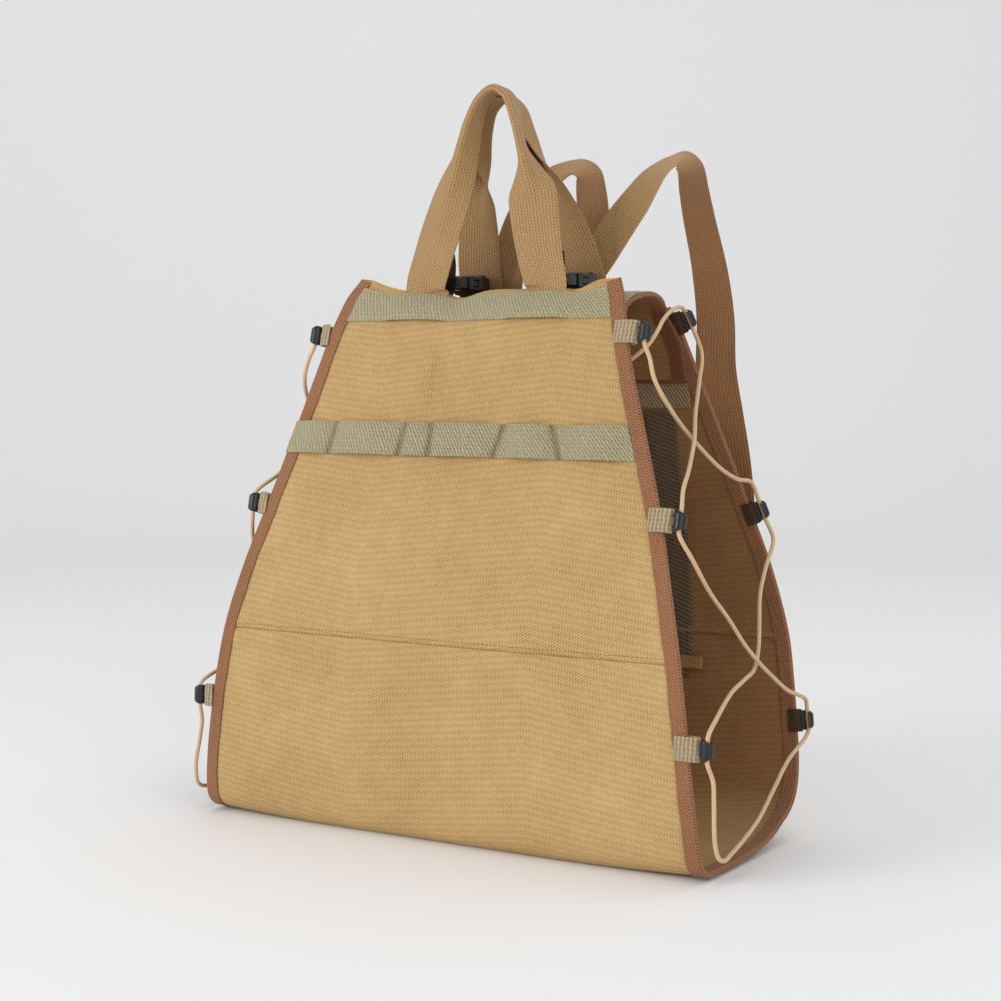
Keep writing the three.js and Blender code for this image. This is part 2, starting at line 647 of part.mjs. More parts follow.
// Free part of each handle: across is a share of half the handle's spacing, depth of bodyDepth, rise of
// handleRise above the front panel's top, fold as above, turn the webbing's turn about its run in degrees.
const frontHandleRows = [
  { across: -1.0, depth: 0.357, rise: -0.01, fold: 0.02, turn: -6 },
  { across: -0.92, depth: 0.362, rise: 0.11, fold: 0.1, turn: -6 },
  { across: -0.8, depth: 0.375, rise: 0.27, fold: 0.2, turn: -4 },
  { across: -0.68, depth: 0.395, rise: 0.43, fold: 0.42, turn: 0 },
  { across: -0.58, depth: 0.405, rise: 0.55, fold: 0.75, turn: 0 },
  { across: -0.47, depth: 0.42, rise: 0.69, fold: 1, turn: 0 },
  { across: -0.36, depth: 0.43, rise: 0.81, fold: 1, turn: 0 },
  { across: -0.19, depth: 0.44, rise: 0.92, fold: 1, turn: 0 },
  { across: 0.03, depth: 0.443, rise: 0.965, fold: 1, turn: 0 },
  { across: 0.22, depth: 0.44, rise: 0.925, fold: 1, turn: 4 },
  { across: 0.36, depth: 0.43, rise: 0.82, fold: 1, turn: 10 },
  { across: 0.47, depth: 0.42, rise: 0.69, fold: 1, turn: 16 },
  { across: 0.6, depth: 0.405, rise: 0.54, fold: 0.6, turn: 18 },
  { across: 0.71, depth: 0.39, rise: 0.42, fold: 0.12, turn: 16 },
  { across: 0.8, depth: 0.375, rise: 0.27, fold: 0.03, turn: 8 },
  { across: 0.9, depth: 0.362, rise: 0.12, fold: 0.02, turn: 0 },
  { across: 1.0, depth: 0.357, rise: -0.01, fold: 0, turn: -6 },
];
const backHandleRows = [
  { across: -0.85, depth: 0.724, rise: -0.02, fold: 0, turn: 2 },
  { across: -0.84, depth: 0.7, rise: 0.1, fold: 0.02, turn: 2 },
  { across: -0.79, depth: 0.675, rise: 0.3, fold: 0.05, turn: -4 },
  { across: -0.73, depth: 0.653, rise: 0.43, fold: 0.15, turn: -12 },
  { across: -0.67, depth: 0.632, rise: 0.55, fold: 0.5, turn: -20 },
  { across: -0.62, depth: 0.612, rise: 0.66, fold: 0.95, turn: -24 },
  { across: -0.54, depth: 0.59, rise: 0.78, fold: 1, turn: -18 },
  { across: -0.38, depth: 0.57, rise: 0.89, fold: 1, turn: -8 },
  { across: -0.1, depth: 0.556, rise: 0.94, fold: 1, turn: 0 },
  { across: 0.12, depth: 0.56, rise: 0.89, fold: 1, turn: 0 },
  { across: 0.26, depth: 0.57, rise: 0.77, fold: 1, turn: 0 },
  { across: 0.36, depth: 0.59, rise: 0.64, fold: 0.8, turn: 0 },
  { across: 0.45, depth: 0.615, rise: 0.52, fold: 0.45, turn: 0 },
  { across: 0.57, depth: 0.64, rise: 0.39, fold: 0.15, turn: 0 },
  { across: 0.71, depth: 0.665, rise: 0.27, fold: 0.04, turn: 0 },
  { across: 0.86, depth: 0.69, rise: 0.12, fold: 0, turn: 0 },
  { across: 0.92, depth: 0.727, rise: -0.02, fold: 0, turn: 0 },
];

// Points along webbing that is sewn on a panel's outer face, and the panel's outward direction at each.
function sewnRun(low, high, xAt, thickness, under) {
  const away = canvasThickness / 2 + sewnGap + faceting + thickness / 2 + under;
  return sewnStations(low, high).map((s) => {
    const normal = bodyNormal(s, xAt(s));
    return { at: facetPoint(s, xAt(s)).addScaledVector(normal, away), normal };
  });
}

// A handle: its frames lie on the sewn points themselves, and on a smooth path between them.
function addHandle(name, rows, open, sewnLow, sewnHigh) {
  const spread = handleSpacing / 2;
  const sewn = (row) => {
    const run = sewnRun(sewnLow, sewnHigh, () => row.across * spread, handleThickness, 0);
    if (sewnLow > sewnHigh) run.reverse();
    return run.map(({ at, normal }) => ({ at, into: normal.clone().negate(), fold: 0, sewn: true }));
  };
  const free = rows.map((row) => {
    const angle = THREE.MathUtils.degToRad(row.turn);
    return {
      at: new THREE.Vector3(row.across * spread, row.depth * bodyDepth, bodyHeight + row.rise * handleRise),
      into: new THREE.Vector3(-Math.sin(angle), Math.cos(angle), 0).multiplyScalar(open),
      fold: row.fold,
      sewn: false,
    };
  });
  const points = [...sewn(rows[0]), ...free, ...sewn(rows[rows.length - 1]).reverse()];
  const path = new THREE.CatmullRomCurve3(points.map((point) => point.at), false, 'centripetal');
  const last = points.length - 1;
  const frames = [];
  points.forEach((point, k) => {
    const halves = k < last && !(point.sewn && points[k + 1].sewn) ? [0, 0.5] : [0];
    for (const share of halves) {
      const t = (k + share) / last;
      const along = path.getTangent(t);
      const next = points[Math.min(k + 1, last)];
      const into = point.into.clone().lerp(next.into, share);
      const first = into.addScaledVector(along, -into.dot(along)).normalize();
      const second = first.clone().cross(along).normalize();
      const fold = THREE.MathUtils.lerp(point.fold, next.fold, share);
      frames.push({ origin: path.getPoint(t), first, second, outline: handleOutline(fold) });
    }
  });
  addPiece(name, carriedSection(frames), 'tan');
}

function addHandles() {
  addHandle('front_handle', frontHandleRows, 1, stationAt(topBandLow + 2, 'front'), topBandTop);
  const backTop = sideRows[lastRow].height * bodyHeight;
  addHandle('back_handle', backHandleRows, -1, stationAt(backTop - sewnLegLength, 'back'), lastRow - 0.2);
}

// Shoulder straps

// Free part of each strap: across is a share of shoulderReach, depth of bodyDepth, rise of shoulderRise
// above the back panel's top edge, drop of bodyHeight below it. wideX, wideY and wideZ point across it.
const rightShoulderRows = [
  { across: 0.2, depth: 0.752, rise: 0.06, drop: 0, wideX: 0.85, wideY: 0, wideZ: -0.52 },
  { across: 0.29, depth: 0.755, rise: 0.19, drop: 0, wideX: 0.8, wideY: -0.05, wideZ: -0.6 },
  { across: 0.39, depth: 0.763, rise: 0.35, drop: 0, wideX: 0.78, wideY: -0.12, wideZ: -0.62 },
  { across: 0.48, depth: 0.776, rise: 0.52, drop: 0, wideX: 0.74, wideY: -0.2, wideZ: -0.64 },
  { across: 0.573, depth: 0.795, rise: 0.69, drop: 0, wideX: 0.66, wideY: -0.34, wideZ: -0.66 },
  { across: 0.653, depth: 0.821, rise: 0.85, drop: 0, wideX: 0.48, wideY: -0.58, wideZ: -0.66 },
  { across: 0.733, depth: 0.842, rise: 0.95, drop: 0, wideX: 0.2, wideY: -0.82, wideZ: -0.54 },
  { across: 0.8, depth: 0.86, rise: 0.985, drop: 0, wideX: 0, wideY: -0.92, wideZ: -0.4 },
  { across: 0.843, depth: 0.874, rise: 0.93, drop: 0, wideX: -0.18, wideY: -0.95, wideZ: -0.25 },
  { across: 0.86, depth: 0.889, rise: 0.77, drop: 0, wideX: -0.3, wideY: -0.95, wideZ: -0.05 },
  { across: 0.88, depth: 0.903, rise: 0.59, drop: 0, wideX: -0.38, wideY: -0.92, wideZ: 0 },
  { across: 0.933, depth: 0.921, rise: 0.23, drop: 0, wideX: -0.5, wideY: -0.86, wideZ: 0 },
  { across: 0.953, depth: 0.947, rise: 0, drop: 0.031, wideX: -0.6, wideY: -0.8, wideZ: 0 },
  { across: 0.945, depth: 0.968, rise: 0, drop: 0.123, wideX: -0.7, wideY: -0.7, wideZ: 0 },
  { across: 0.97, depth: 0.995, rise: 0, drop: 0.215, wideX: -0.85, wideY: -0.52, wideZ: 0 },
  { across: 0.995, depth: 1.032, rise: 0, drop: 0.307, wideX: -0.97, wideY: -0.25, wideZ: 0 },
  { across: 1.01, depth: 1.055, rise: 0, drop: 0.4, wideX: -1, wideY: -0.1, wideZ: 0 },
  { across: 1, depth: 1.062, rise: 0, drop: 0.48, wideX: -1, wideY: 0, wideZ: 0.1 },
  { across: 1, depth: 1.05, rise: 0, drop: 0.545, wideX: -1, wideY: 0, wideZ: 0.05 },
];
const leftShoulderRows = [
  { across: -0.2, depth: 0.763, rise: 0.03, drop: 0, wideX: 0.99, wideY: 0, wideZ: -0.1 },
  { across: -0.18, depth: 0.752, rise: 0.19, drop: 0, wideX: 0.97, wideY: 0, wideZ: -0.2 },
  { across: -0.15, depth: 0.768, rise: 0.43, drop: 0, wideX: 0.97, wideY: -0.1, wideZ: -0.2 },
  { across: -0.093, depth: 0.789, rise: 0.66, drop: 0, wideX: 0.9, wideY: -0.25, wideZ: -0.35 },
  { across: -0.007, depth: 0.805, rise: 0.83, drop: 0, wideX: 0.75, wideY: -0.45, wideZ: -0.48 },
  { across: 0.1, depth: 0.821, rise: 0.93, drop: 0, wideX: 0.45, wideY: -0.7, wideZ: -0.55 },
  { across: 0.2, depth: 0.842, rise: 0.975, drop: 0, wideX: 0.1, wideY: -0.9, wideZ: -0.42 },
  { across: 0.25, depth: 0.86, rise: 0.93, drop: 0, wideX: -0.15, wideY: -0.95, wideZ: -0.25 },
  { across: 0.262, depth: 0.874, rise: 0.8, drop: 0, wideX: -0.3, wideY: -0.95, wideZ: 0 },
  { across: 0.262, depth: 0.889, rise: 0.59, drop: 0, wideX: -0.4, wideY: -0.92, wideZ: 0 },
  { across: 0.235, depth: 0.905, rise: 0.39, drop: 0, wideX: -0.5, wideY: -0.86, wideZ: 0 },
  { across: 0.185, depth: 0.926, rise: 0.17, drop: 0, wideX: -0.65, wideY: -0.75, wideZ: 0.1 },
  { across: 0.133, depth: 0.958, rise: 0, drop: 0.021, wideX: -0.85, wideY: -0.5, wideZ: 0.2 },
  { across: 0, depth: 1.0, rise: 0, drop: 0.092, wideX: -0.93, wideY: -0.25, wideZ: 0.25 },
  { across: -0.2, depth: 1.042, rise: 0, drop: 0.175, wideX: -0.85, wideY: -0.05, wideZ: 0.5 },
  { across: -0.433, depth: 1.068, rise: 0, drop: 0.257, wideX: -0.75, wideY: 0, wideZ: 0.65 },
  { across: -0.667, depth: 1.084, rise: 0, drop: 0.347, wideX: -0.72, wideY: 0, wideZ: 0.69 },
  { across: -0.867, depth: 1.084, rise: 0, drop: 0.441, wideX: -0.8, wideY: 0, wideZ: 0.6 },
  { across: -0.98, depth: 1.06, rise: 0, drop: 0.53, wideX: -0.95, wideY: 0, wideZ: 0.2 },
];

// topAcross gives where the upper end is sewn: shares of shoulderReach at its low and its high station.
function addShoulderStrap(name, rows, topAcross, endSide) {
  const backTop = sideRows[lastRow].height * bodyHeight;
  const under = handleThickness + 2.4 * faceting;
  const low = stationAt(backTop - sewnLegLength, 'back');
  const acrossAt = (s) => THREE.MathUtils.mapLinear(s, low, lastRow, topAcross.low, topAcross.high);
  const xAt = (s) => acrossAt(s) * shoulderReach;
  const wideTop = new THREE.Vector3(rows[0].wideX, rows[0].wideY, rows[0].wideZ);
  const upper = sewnRun(low, lastRow - 0.2, xAt, shoulderThickness, under).map(({ at, normal }) => ({
    at,
    wide: wideTop.clone().addScaledVector(normal, -wideTop.dot(normal)),
  }));
  const free = rows.map((row) => ({
    at: new THREE.Vector3(
      row.across * shoulderReach,
      row.depth * bodyDepth,
      backTop + row.rise * shoulderRise - row.drop * bodyHeight,
    ),
    wide: new THREE.Vector3(row.wideX, row.wideY, row.wideZ),
  }));
  const endLow = stationAt(shoulderEndLow + 6, 'back');
  const endHigh = stationAt(shoulderEndLow + 6 + shoulderEndLength, 'back');
  const endX = () => endSide * shoulderReach;
  const lower = sewnRun(endLow, endHigh, endX, shoulderThickness, faceting).reverse();
  const lowerPoints = lower.map(({ at }) => ({ at, wide: new THREE.Vector3(-1, 0, 0) }));
  const points = [...upper, ...free, ...lowerPoints];
  const path = new THREE.CatmullRomCurve3(points.map((point) => point.at), false, 'centripetal');
  const last = points.length - 1;
  const frames = [];
  points.forEach((point, k) => {
    const onFree = k >= upper.length && k < points.length - lower.length;
    for (const share of onFree ? [0, 0.5] : [0]) {
      const t = (k + share) / last;
      const along = path.getTangent(t);
      const wide = point.wide.clone().lerp(points[Math.min(k + 1, last)].wide, share);
      const first = wide.addScaledVector(along, -wide.dot(along)).normalize();
      const second = along.clone().cross(first).normalize();
      const outline = rectangle(shoulderWidth, shoulderThickness);
      frames.push({ origin: path.getPoint(t), first, second, outline });
    }
  });
  addPiece(name, carriedSection(frames), 'tan');
}

// Solids that are joined or cut

function toSolid(geometry) {
  const bare = geometry.clone();
  bare.deleteAttribute('normal');
  bare.deleteAttribute('uv');
  const merged = mergeVertices(bare, 1e-4);
  const vertProperties = new Float32Array(merged.attributes.position.array);
  const triVerts = new Uint32Array(merged.index.array);
  return new wasm.Manifold(new wasm.Mesh({ numProp: 3, vertProperties, triVerts }));
}

function toGeometry(solid) {
  const mesh = solid.getMesh();
  const geometry = new THREE.BufferGeometry();
  geometry.setAttribute('position', new THREE.BufferAttribute(Float32Array.from(mesh.vertProperties), 3));
  geometry.setIndex(new THREE.BufferAttribute(Uint32Array.from(mesh.triVerts), 1));
  return geometry;
}

// An outline in the plane of the first two axes, extruded evenly to both sides of it along the third.
function extruded(points, height) {
  const shape = new THREE.Shape(points.map(([x, y]) => new THREE.Vector2(x, y)));
  const geometry = new THREE.ExtrudeGeometry(shape, { depth: height, bevelEnabled: false });
  return geometry.translate(0, 0, -height / 2);
}

const block = (x, y, z, atX, atY, atZ) => new THREE.BoxGeometry(x, y, z).translate(atX, atY, atZ);

// Lacing

// In a tab's and a hook's own axes the first points out of the canvas edge, the second squarely away from
// the canvas, and the third along the edge.
const tapeOutside = canvasThickness / 2 + sewnGap + tapeThickness;
const hookEye = cordDiameter / 2 + hookClearance;
const hookOuter = hookEye + hookWall;
const neckGap = { front: 1.2, back: 0.3 };
// from the canvas edge to the eye's middle
const hookPlace = (side) => tabReachOut[side] + tabThickness + neckGap[side] + hookOuter;

function tabGeometry(side) {
  const inside = tapeOutside + faceting;
  const endInside = hookWall / 2 + sewnGap;
  const bend = sewnGap + tapeThickness + tapeNose + tabSlack[side];
  const end = tabReachOut[side];
  const leg = (reach, sign) => ({
    inner: [[-reach, sign * inside], [bend, sign * inside], [end, sign * endInside]],
    outer: [
      [-reach, sign * (inside + tabThickness)],
      [bend + 0.3, sign * (inside + tabThickness)],
      [end - 0.4, sign * (endInside + tabThickness)],
      [end + tabThickness, sign * (endInside + 0.1)],
    ],
  });
  const outerLeg = leg(tabReachIn, 1);
  const innerLeg = leg(tabReachInside, -1);
  const outline = [
    ...outerLeg.outer,
    ...innerLeg.outer.toReversed(),
    ...innerLeg.inner,
    ...outerLeg.inner.toReversed(),
  ];
  const slotWidth = hookNeckWidth + 2 * sewnGap;
  const slot = block(2 * tabThickness, 2 * endInside, slotWidth, end + tabThickness, 0, 0);
  return toGeometry(toSolid(extruded(outline, tabHeight)).subtract(toSolid(slot)));
}

// The hook: a plate held in the tab, a neck through the tab's slot and an open curl that holds the cord.
function hookGeometry(side) {
  const start = sewnGap + tapeThickness + tapeNose + tabSlack[side] - 0.3;
  const plateEnd = tabReachOut[side] - sewnGap;
  const plate = block(plateEnd - start, hookWall, hookHeight, (start + plateEnd) / 2, 0, 0);
  const place = hookPlace(side);
  const neckEnd = place - hookEye - hookWall / 2;
  const neck = block(neckEnd - start, hookWall, hookNeckWidth, (start + neckEnd) / 2, 0, 0);
  const arcSteps = 6;
  const [from, to] = [205, -55].map((degrees) => THREE.MathUtils.degToRad(degrees));
  const arc = (radius) => Array.from({ length: arcSteps + 1 }, (_, k) => {
    const angle = from + (to - from) * k / arcSteps;
    return [place + radius * Math.cos(angle), radius * Math.sin(angle)];
  });
  const eyeRadius = hookEye / Math.cos((from - to) / arcSteps / 2);
  const curl = extruded([...arc(hookOuter), ...arc(eyeRadius).reverse()], hookHeight);
  return toGeometry(toSolid(plate).add(toSolid(neck)).add(toSolid(curl)));
}

// Heights of the tabs' middles, shares of bodyHeight.
const lacingRows = [
  { name: 'top', front: 0.906, back: 0.927 },
  { name: 'middle', front: 0.59, back: 0.58 },
  { name: 'low', front: 0.224, back: 0.203 },
];

function addLacing() {
  for (const side of ['front', 'back']) {
    const tab = tabGeometry(side);
    const hook = hookGeometry(side);
    for (const row of lacingRows) {
      const s = stationAt(row[side] * bodyHeight, side);
      for (const [sideName, sign] of [['left', -1], ['right', 1]]) {
        const edge = facetPoint(s, sign * canvasHalfWidth(s));
        const inner = facetPoint(s, sign * (canvasHalfWidth(s) - tapeReach));
        const high = facetPoint(s + 0.1, sign * canvasHalfWidth(s + 0.1));
        const along = high.sub(facetPoint(s - 0.1, sign * canvasHalfWidth(s - 0.1))).normalize();
        const out = edge.clone().sub(inner).normalize();
        out.addScaledVector(along, -out.dot(along)).normalize();
        const away = along.clone().cross(out).normalize();
        if (away.dot(bodyNormal(s, 0)) < 0) away.negate();
        if (side === 'front') out.set(away.y, -away.x, 0).multiplyScalar(-sign).normalize(); // level
        const third = out.clone().cross(away);
        const place = new THREE.Matrix4().makeBasis(out, away, third).setPosition(edge);
        for (const [kind, geometry, finish] of [['tab', tab, 'sage'], ['hook', hook, 'plastic']]) {
          const mesh = addPiece(`lacing_${kind}_${side}_${row.name}_${sideName}`, geometry, finish);
          mesh.applyMatrix4(place);
        }
      }
    }
  }
}

// Buckles

// A buckle's own axes: the first across it, the second from front to back, the third through its thickness.
const slotHalf = buckleWeb / 2 + 0.8;
const plugSlot = { from: -18.5, to: -14.5 };
const socketSlot = { from: 16, to: 20.2 };
const meeting = -6; // where the plug's frame meets the socket
const pocketHalf = buckleWidth / 2 - buckleWall;

const buckleBlock = (x0, x1, y0, y1, thickness) => {
  return toSolid(block(x1 - x0, y1 - y0, thickness, (x0 + x1) / 2, (y0 + y1) / 2, 0));
};

function plugGeometry() {
  const half = buckleLength / 2;
  const armOut = pocketHalf - buckleRest;
  const armIn = armOut - 3.4;
  const side = buckleWidth / 2 - 1;
  let solid = buckleBlock(-side, side, -half, meeting - buckleRest, buckleThickness * 0.8);
  solid = solid.subtract(buckleBlock(-slotHalf, slotHalf, plugSlot.from, plugSlot.to, 2 * buckleThickness));
  solid = solid.add(buckleBlock(-5, 5, meeting - 2, 6, 3.2));
  for (const sign of [-1, 1]) {
    const arm = [sign * armIn, sign * armOut].sort((a, b) => a - b);
    const latch = [sign * armOut, sign * (buckleWidth / 2 - 0.3)].sort((a, b) => a - b);
    solid = solid.add(buckleBlock(arm[0], arm[1], meeting - 2, 7.4, 4.4));
    solid = solid.add(buckleBlock(latch[0], latch[1], 0.6, 7.4, 4.4));
  }
  return toGeometry(solid);
}

function socketGeometry() {
  const half = buckleLength / 2;
  const inside = buckleThickness - 2 * buckleWall;
  let solid = buckleBlock(-buckleWidth / 2, buckleWidth / 2, meeting, half, buckleThickness);
  solid = solid.subtract(buckleBlock(-pocketHalf, pocketHalf, meeting - 1, 9, inside));
  solid = solid.subtract(buckleBlock(-buckleWidth, buckleWidth, 0, 8, inside));
  const through = 2 * buckleThickness;
  solid = solid.subtract(buckleBlock(-slotHalf, slotHalf, socketSlot.from, socketSlot.to, through));
  return toGeometry(solid);
}

// Webbing along points that each have a place and an outward direction; it is as wide across X as width.
function addWebbing(name, points, width, thickness, finish) {
  const path = new THREE.CatmullRomCurve3(points.map((point) => point.at), false, 'centripetal');
  const frames = points.map((point, k) => {
    const along = path.getTangent(k / (points.length - 1));
    const first = new THREE.Vector3(1, 0, 0).addScaledVector(along, -along.x).normalize();
    const second = along.clone().cross(first).normalize();
    return { origin: point.at, first, second, outline: rectangle(width, thickness) };
  });
  addPiece(name, carriedSection(frames), finish);
}

// The flap's outer face near the buckles' rear loops.
function onFlap(s, x, away) {
  const along = flapPoint(s + 0.05, x).sub(flapPoint(s - 0.05, x)).normalize();
  const up = new THREE.Vector3(1, 0, 0).cross(along).normalize();
  if (up.z < 0) up.negate();
  return flapPoint(s, x).addScaledVector(up, canvasThickness / 2 + away);
}

function addBuckles() {
  const plug = plugGeometry();
  const socket = socketGeometry();
  const half = bandThickness / 2;
  for (const [sideName, sign] of [['left', -1], ['right', 1]]) {
    const x = sign * (legMiddle - buckleTurnIn);
    const middle = new THREE.Vector3(x, buckleDepthAt, buckleHeightAt);
    addPiece(`buckle_plug_${sideName}`, plug, 'plastic').position.copy(middle);
    addPiece(`buckle_socket_${sideName}`, socket, 'plastic').position.copy(middle);
    const at = (y, z) => ({ at: new THREE.Vector3(x, buckleDepthAt + y, buckleHeightAt + z) });

    // Rear loop: up from the flap, through the socket's slot from below and back over itself.
    const lower = faceting + half;
    const upper = lower + bandThickness + faceting;
    const slotMiddle = (socketSlot.from + socketSlot.to) / 2;
    addWebbing(`buckle_strap_${sideName}`, [
      { at: onFlap(6.9, x, lower) },
      { at: onFlap(6.4, x, lower) },
      at(buckleLength / 2 + 3, -buckleThickness / 2 - 3.6),
      at(slotMiddle + 0.5, -buckleThickness / 2 - 2),
      at(slotMiddle, -buckleThickness / 2),
      at(slotMiddle, buckleThickness / 2),
      at(slotMiddle + 1.6, buckleThickness / 2 + 1.8),
      at(buckleLength / 2 + 1.5, buckleThickness / 2 + 1.4),
      at(buckleLength / 2 + 4, buckleThickness / 2 - 3),
      { at: onFlap(6.4, x, upper + 0.6) },
      { at: onFlap(6.9, x, upper) },
    ], buckleWeb, bandThickness, 'sage');

    // Front webbing: from inside the front panel up through the plug's slot, its free end standing.
    const tailSlot = (plugSlot.from + plugSlot.to) / 2;
    const sewn = sewnStations(topBandTop, topBandStation).reverse().map((s, k, all) => {
      const away = canvasThickness / 2 + faceting + half + tailLift * (k / (all.length - 1)) ** 2;
      return { at: facetPoint(s, x).addScaledVector(bodyNormal(s, x), -away) };
    });
    addWebbing(`buckle_tail_${sideName}`, [
      ...sewn,
      at(tailSlot - 0.6, -buckleThickness / 2 - 1.4),
      at(tailSlot, -buckleThickness / 2 + 2),
      at(tailSlot, buckleThickness / 2),
      at(tailSlot + 0.6, tailRise / 2 + 2),
      at(tailSlot - 1, tailRise),
    ], buckleWeb, bandThickness, 'dark');

    // Short strap over the flap's front corner.
    const cornerMiddle = flapCanvasHalfWidth - cornerTabWidth / 2 + 1;
    const cornerAt = [-0.5, 0.5].map((share) => sign * (cornerMiddle + share * cornerTabWidth));
    const away = sewnGap + tapeThickness + faceting + half;
    const grid = [0.4, 1, 1.5, 2, 3].map((s) => cornerAt.map((place) => onFlap(s, place, away)));
    addPiece(`corner_tab_${sideName}`, clothWall(grid, bandThickness), 'sage');
  }
}

// Lacing cords: one to a side, through its six hooks. Points of the right one, in millimetres; the left one
// is its mirror image. It starts in the top front hook, and its other end is tucked in behind that hook.
const cordRoute = [
  [148.7, 52.5, 390.9],
  [148.7, 50.6, 384.1],
  [148.7, 48.8, 377.3],
  [154, 47.2, 365.4],
  [158.3, 46.9, 349.8],
  [164.6, 63.9, 325.5],
  [167.7, 91.8, 305],
  [177, 116.3, 284.2],
  [180, 141.6, 274.3],
  [180.9, 167, 269.9],
  [184.6, 171.3, 257],
  [187.1, 173.1, 248.9],
  [189.6, 174.9, 240.9],
  [193.4, 179.7, 227.2],
  [199.5, 152.1, 206.6],
  [204.9, 130.2, 188.3],
  [210.1, 117.7, 169.8],
  [213, 110.4, 152.9],
  [214.9, 100.1, 138.3],
  [218, 75.4, 133],
  [220.8, 46.3, 127.2],
  [223.6, 16.8, 113.7],
  [227, -3.9, 103.6],
  [227, -4.3, 95],
  [227, -4.8, 86.4],
  [229.3, 0, 72.8],
  [230.8, -1.4, 57.2],
  [232.5, -4.1, 39.1],
  [233.2, -3.3, 27.8],
  [233.9, 0.2, 19.8],
  [234.2, 9.1, 16.2],
  [234, 20.9, 18.6],
  [232.9, 40.7, 23.1],
  [231.4, 71.2, 32.3],
  [228.8, 105.3, 49.2],
  [226.3, 135.2, 63.8],
  [224, 180.6, 79.9],
  [222.7, 181.9, 87.9],
  [221.5, 183.2, 95.9],
  [221.1, 181.8, 103],
  [220.8, 168.8, 108.5],
  [220.4, 147.6, 115.3],
  [220.1, 118.3, 130.3],
  [220, 92.8, 144.7],
  [215.9, 79.6, 157.7],
  [209.6, 65.3, 177.5],
  [204.4, 44.7, 198.6],
  [198.6, 29.2, 222.1],
  [191.5, 20.9, 241.8],
  [191.5, 22.9, 250.2],
  [191.5, 25, 258.5],
  [183.7, 43.3, 271.8],
  [179.4, 60.2, 284.2],
  [174.3, 79.5, 305.5],
  [166, 97.9, 323.5],
  [156.1, 124.5, 347.8],
  [148.3, 144.3, 369.8],
  [142.3, 141.3, 388.6],
  [139.9, 139.4, 395.4],
  [138.6, 138.4, 399.1],
  [137.4, 136.4, 402.4],
  [136.8, 132.9, 404.3],
  [136.7, 129.6, 404.5],
  [139.5, 110, 401.2],
  [141.9, 91.4, 393.5],
  [144.6, 76.8, 384.7],
  [141.6, 68.5, 375],
  [135, 63, 367.5],
  [127.5, 58.5, 361],
];

// A curve whose stations fall on its own points.
class PointPath extends THREE.CatmullRomCurve3 {
  getPointAt(t) {
    return this.getPoint(t);
  }

  getTangentAt(t) {
    return this.getTangent(t);
  }
}

function addCords() {
  const corners = Array.from({ length: cordSides }, (_, k) => {
    const angle = 2 * Math.PI * k / cordSides;
    return new THREE.Vector2(Math.cos(angle), Math.sin(angle)).multiplyScalar(cordDiameter / 2);
  });
  for (const [sideName, sign] of [['left', -1], ['right', 1]]) {
    const points = cordRoute.map(([x, y, z]) => new THREE.Vector3(sign * x, y, z));
    const extrudePath = new PointPath(points, false, 'centripetal');
    const options = { steps: points.length - 1, bevelEnabled: false, extrudePath };
    addPiece(`cord_${sideName}`, new THREE.ExtrudeGeometry(new THREE.Shape(corners), options), 'cord');
  }
}

addPanels();
addTapes();
addFlap();
addTopBand();
addMidBand();
addInnerStraps();
addHandles();
addShoulderStrap('shoulder_strap_right', rightShoulderRows, { low: 0.08, high: 0.18 }, 1);
addShoulderStrap('shoulder_strap_left', leftShoulderRows, { low: -0.22, high: -0.205 }, -1);
addLacing();
addBuckles();
addCords();

// The origin is in the middle of the carrier, on the ground.
const whole = new THREE.Box3();
for (const mesh of carrier.children) {
  if (!mesh.name.startsWith('cord')) whole.expandByObject(mesh, true);
}
for (const mesh of carrier.children) {
  mesh.position.x -= (whole.min.x + whole.max.x) / 2;
  mesh.position.y -= (whole.min.y + whole.max.y) / 2;
  mesh.position.z -= whole.min.z;
}

export default carrier;
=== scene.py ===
import math

import bmesh
import bpy
import numpy as np
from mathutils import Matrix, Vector


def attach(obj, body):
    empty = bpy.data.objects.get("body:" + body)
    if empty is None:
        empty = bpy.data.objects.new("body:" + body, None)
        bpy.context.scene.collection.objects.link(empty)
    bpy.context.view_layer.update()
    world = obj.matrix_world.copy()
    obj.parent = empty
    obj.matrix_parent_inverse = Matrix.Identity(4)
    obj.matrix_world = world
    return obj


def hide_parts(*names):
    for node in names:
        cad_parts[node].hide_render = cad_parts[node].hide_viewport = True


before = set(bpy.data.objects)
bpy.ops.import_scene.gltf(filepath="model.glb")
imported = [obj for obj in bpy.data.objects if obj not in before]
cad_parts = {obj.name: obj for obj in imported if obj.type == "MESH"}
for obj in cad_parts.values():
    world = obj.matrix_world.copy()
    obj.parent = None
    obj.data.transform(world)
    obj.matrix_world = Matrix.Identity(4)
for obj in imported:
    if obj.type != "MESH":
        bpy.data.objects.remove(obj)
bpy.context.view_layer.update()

# Canvas log carrier: waxed canvas, rust edge tape, sage and tan webbing, cord-laced side edges.
# Shapes are worked out in millimetres (X across, Y front to back, Z up) and put into meshes in metres.

bagShift = np.array([0.0, -99.16, 0.967])  # from the tables' own zero to the carrier's origin

# Curves and arrays

def unit(v):
    return v / np.maximum(np.linalg.norm(v, axis=-1, keepdims=True), 1e-9)


# The part of v that is square to the unit direction n, as a direction.
def squareTo(v, n):
    return unit(v - n * np.sum(v * n, axis=-1, keepdims=True))


def ease(low, high, value):
    t = np.clip((value - low) / (high - low), 0, 1)
    return t * t * (3 - 2 * t)


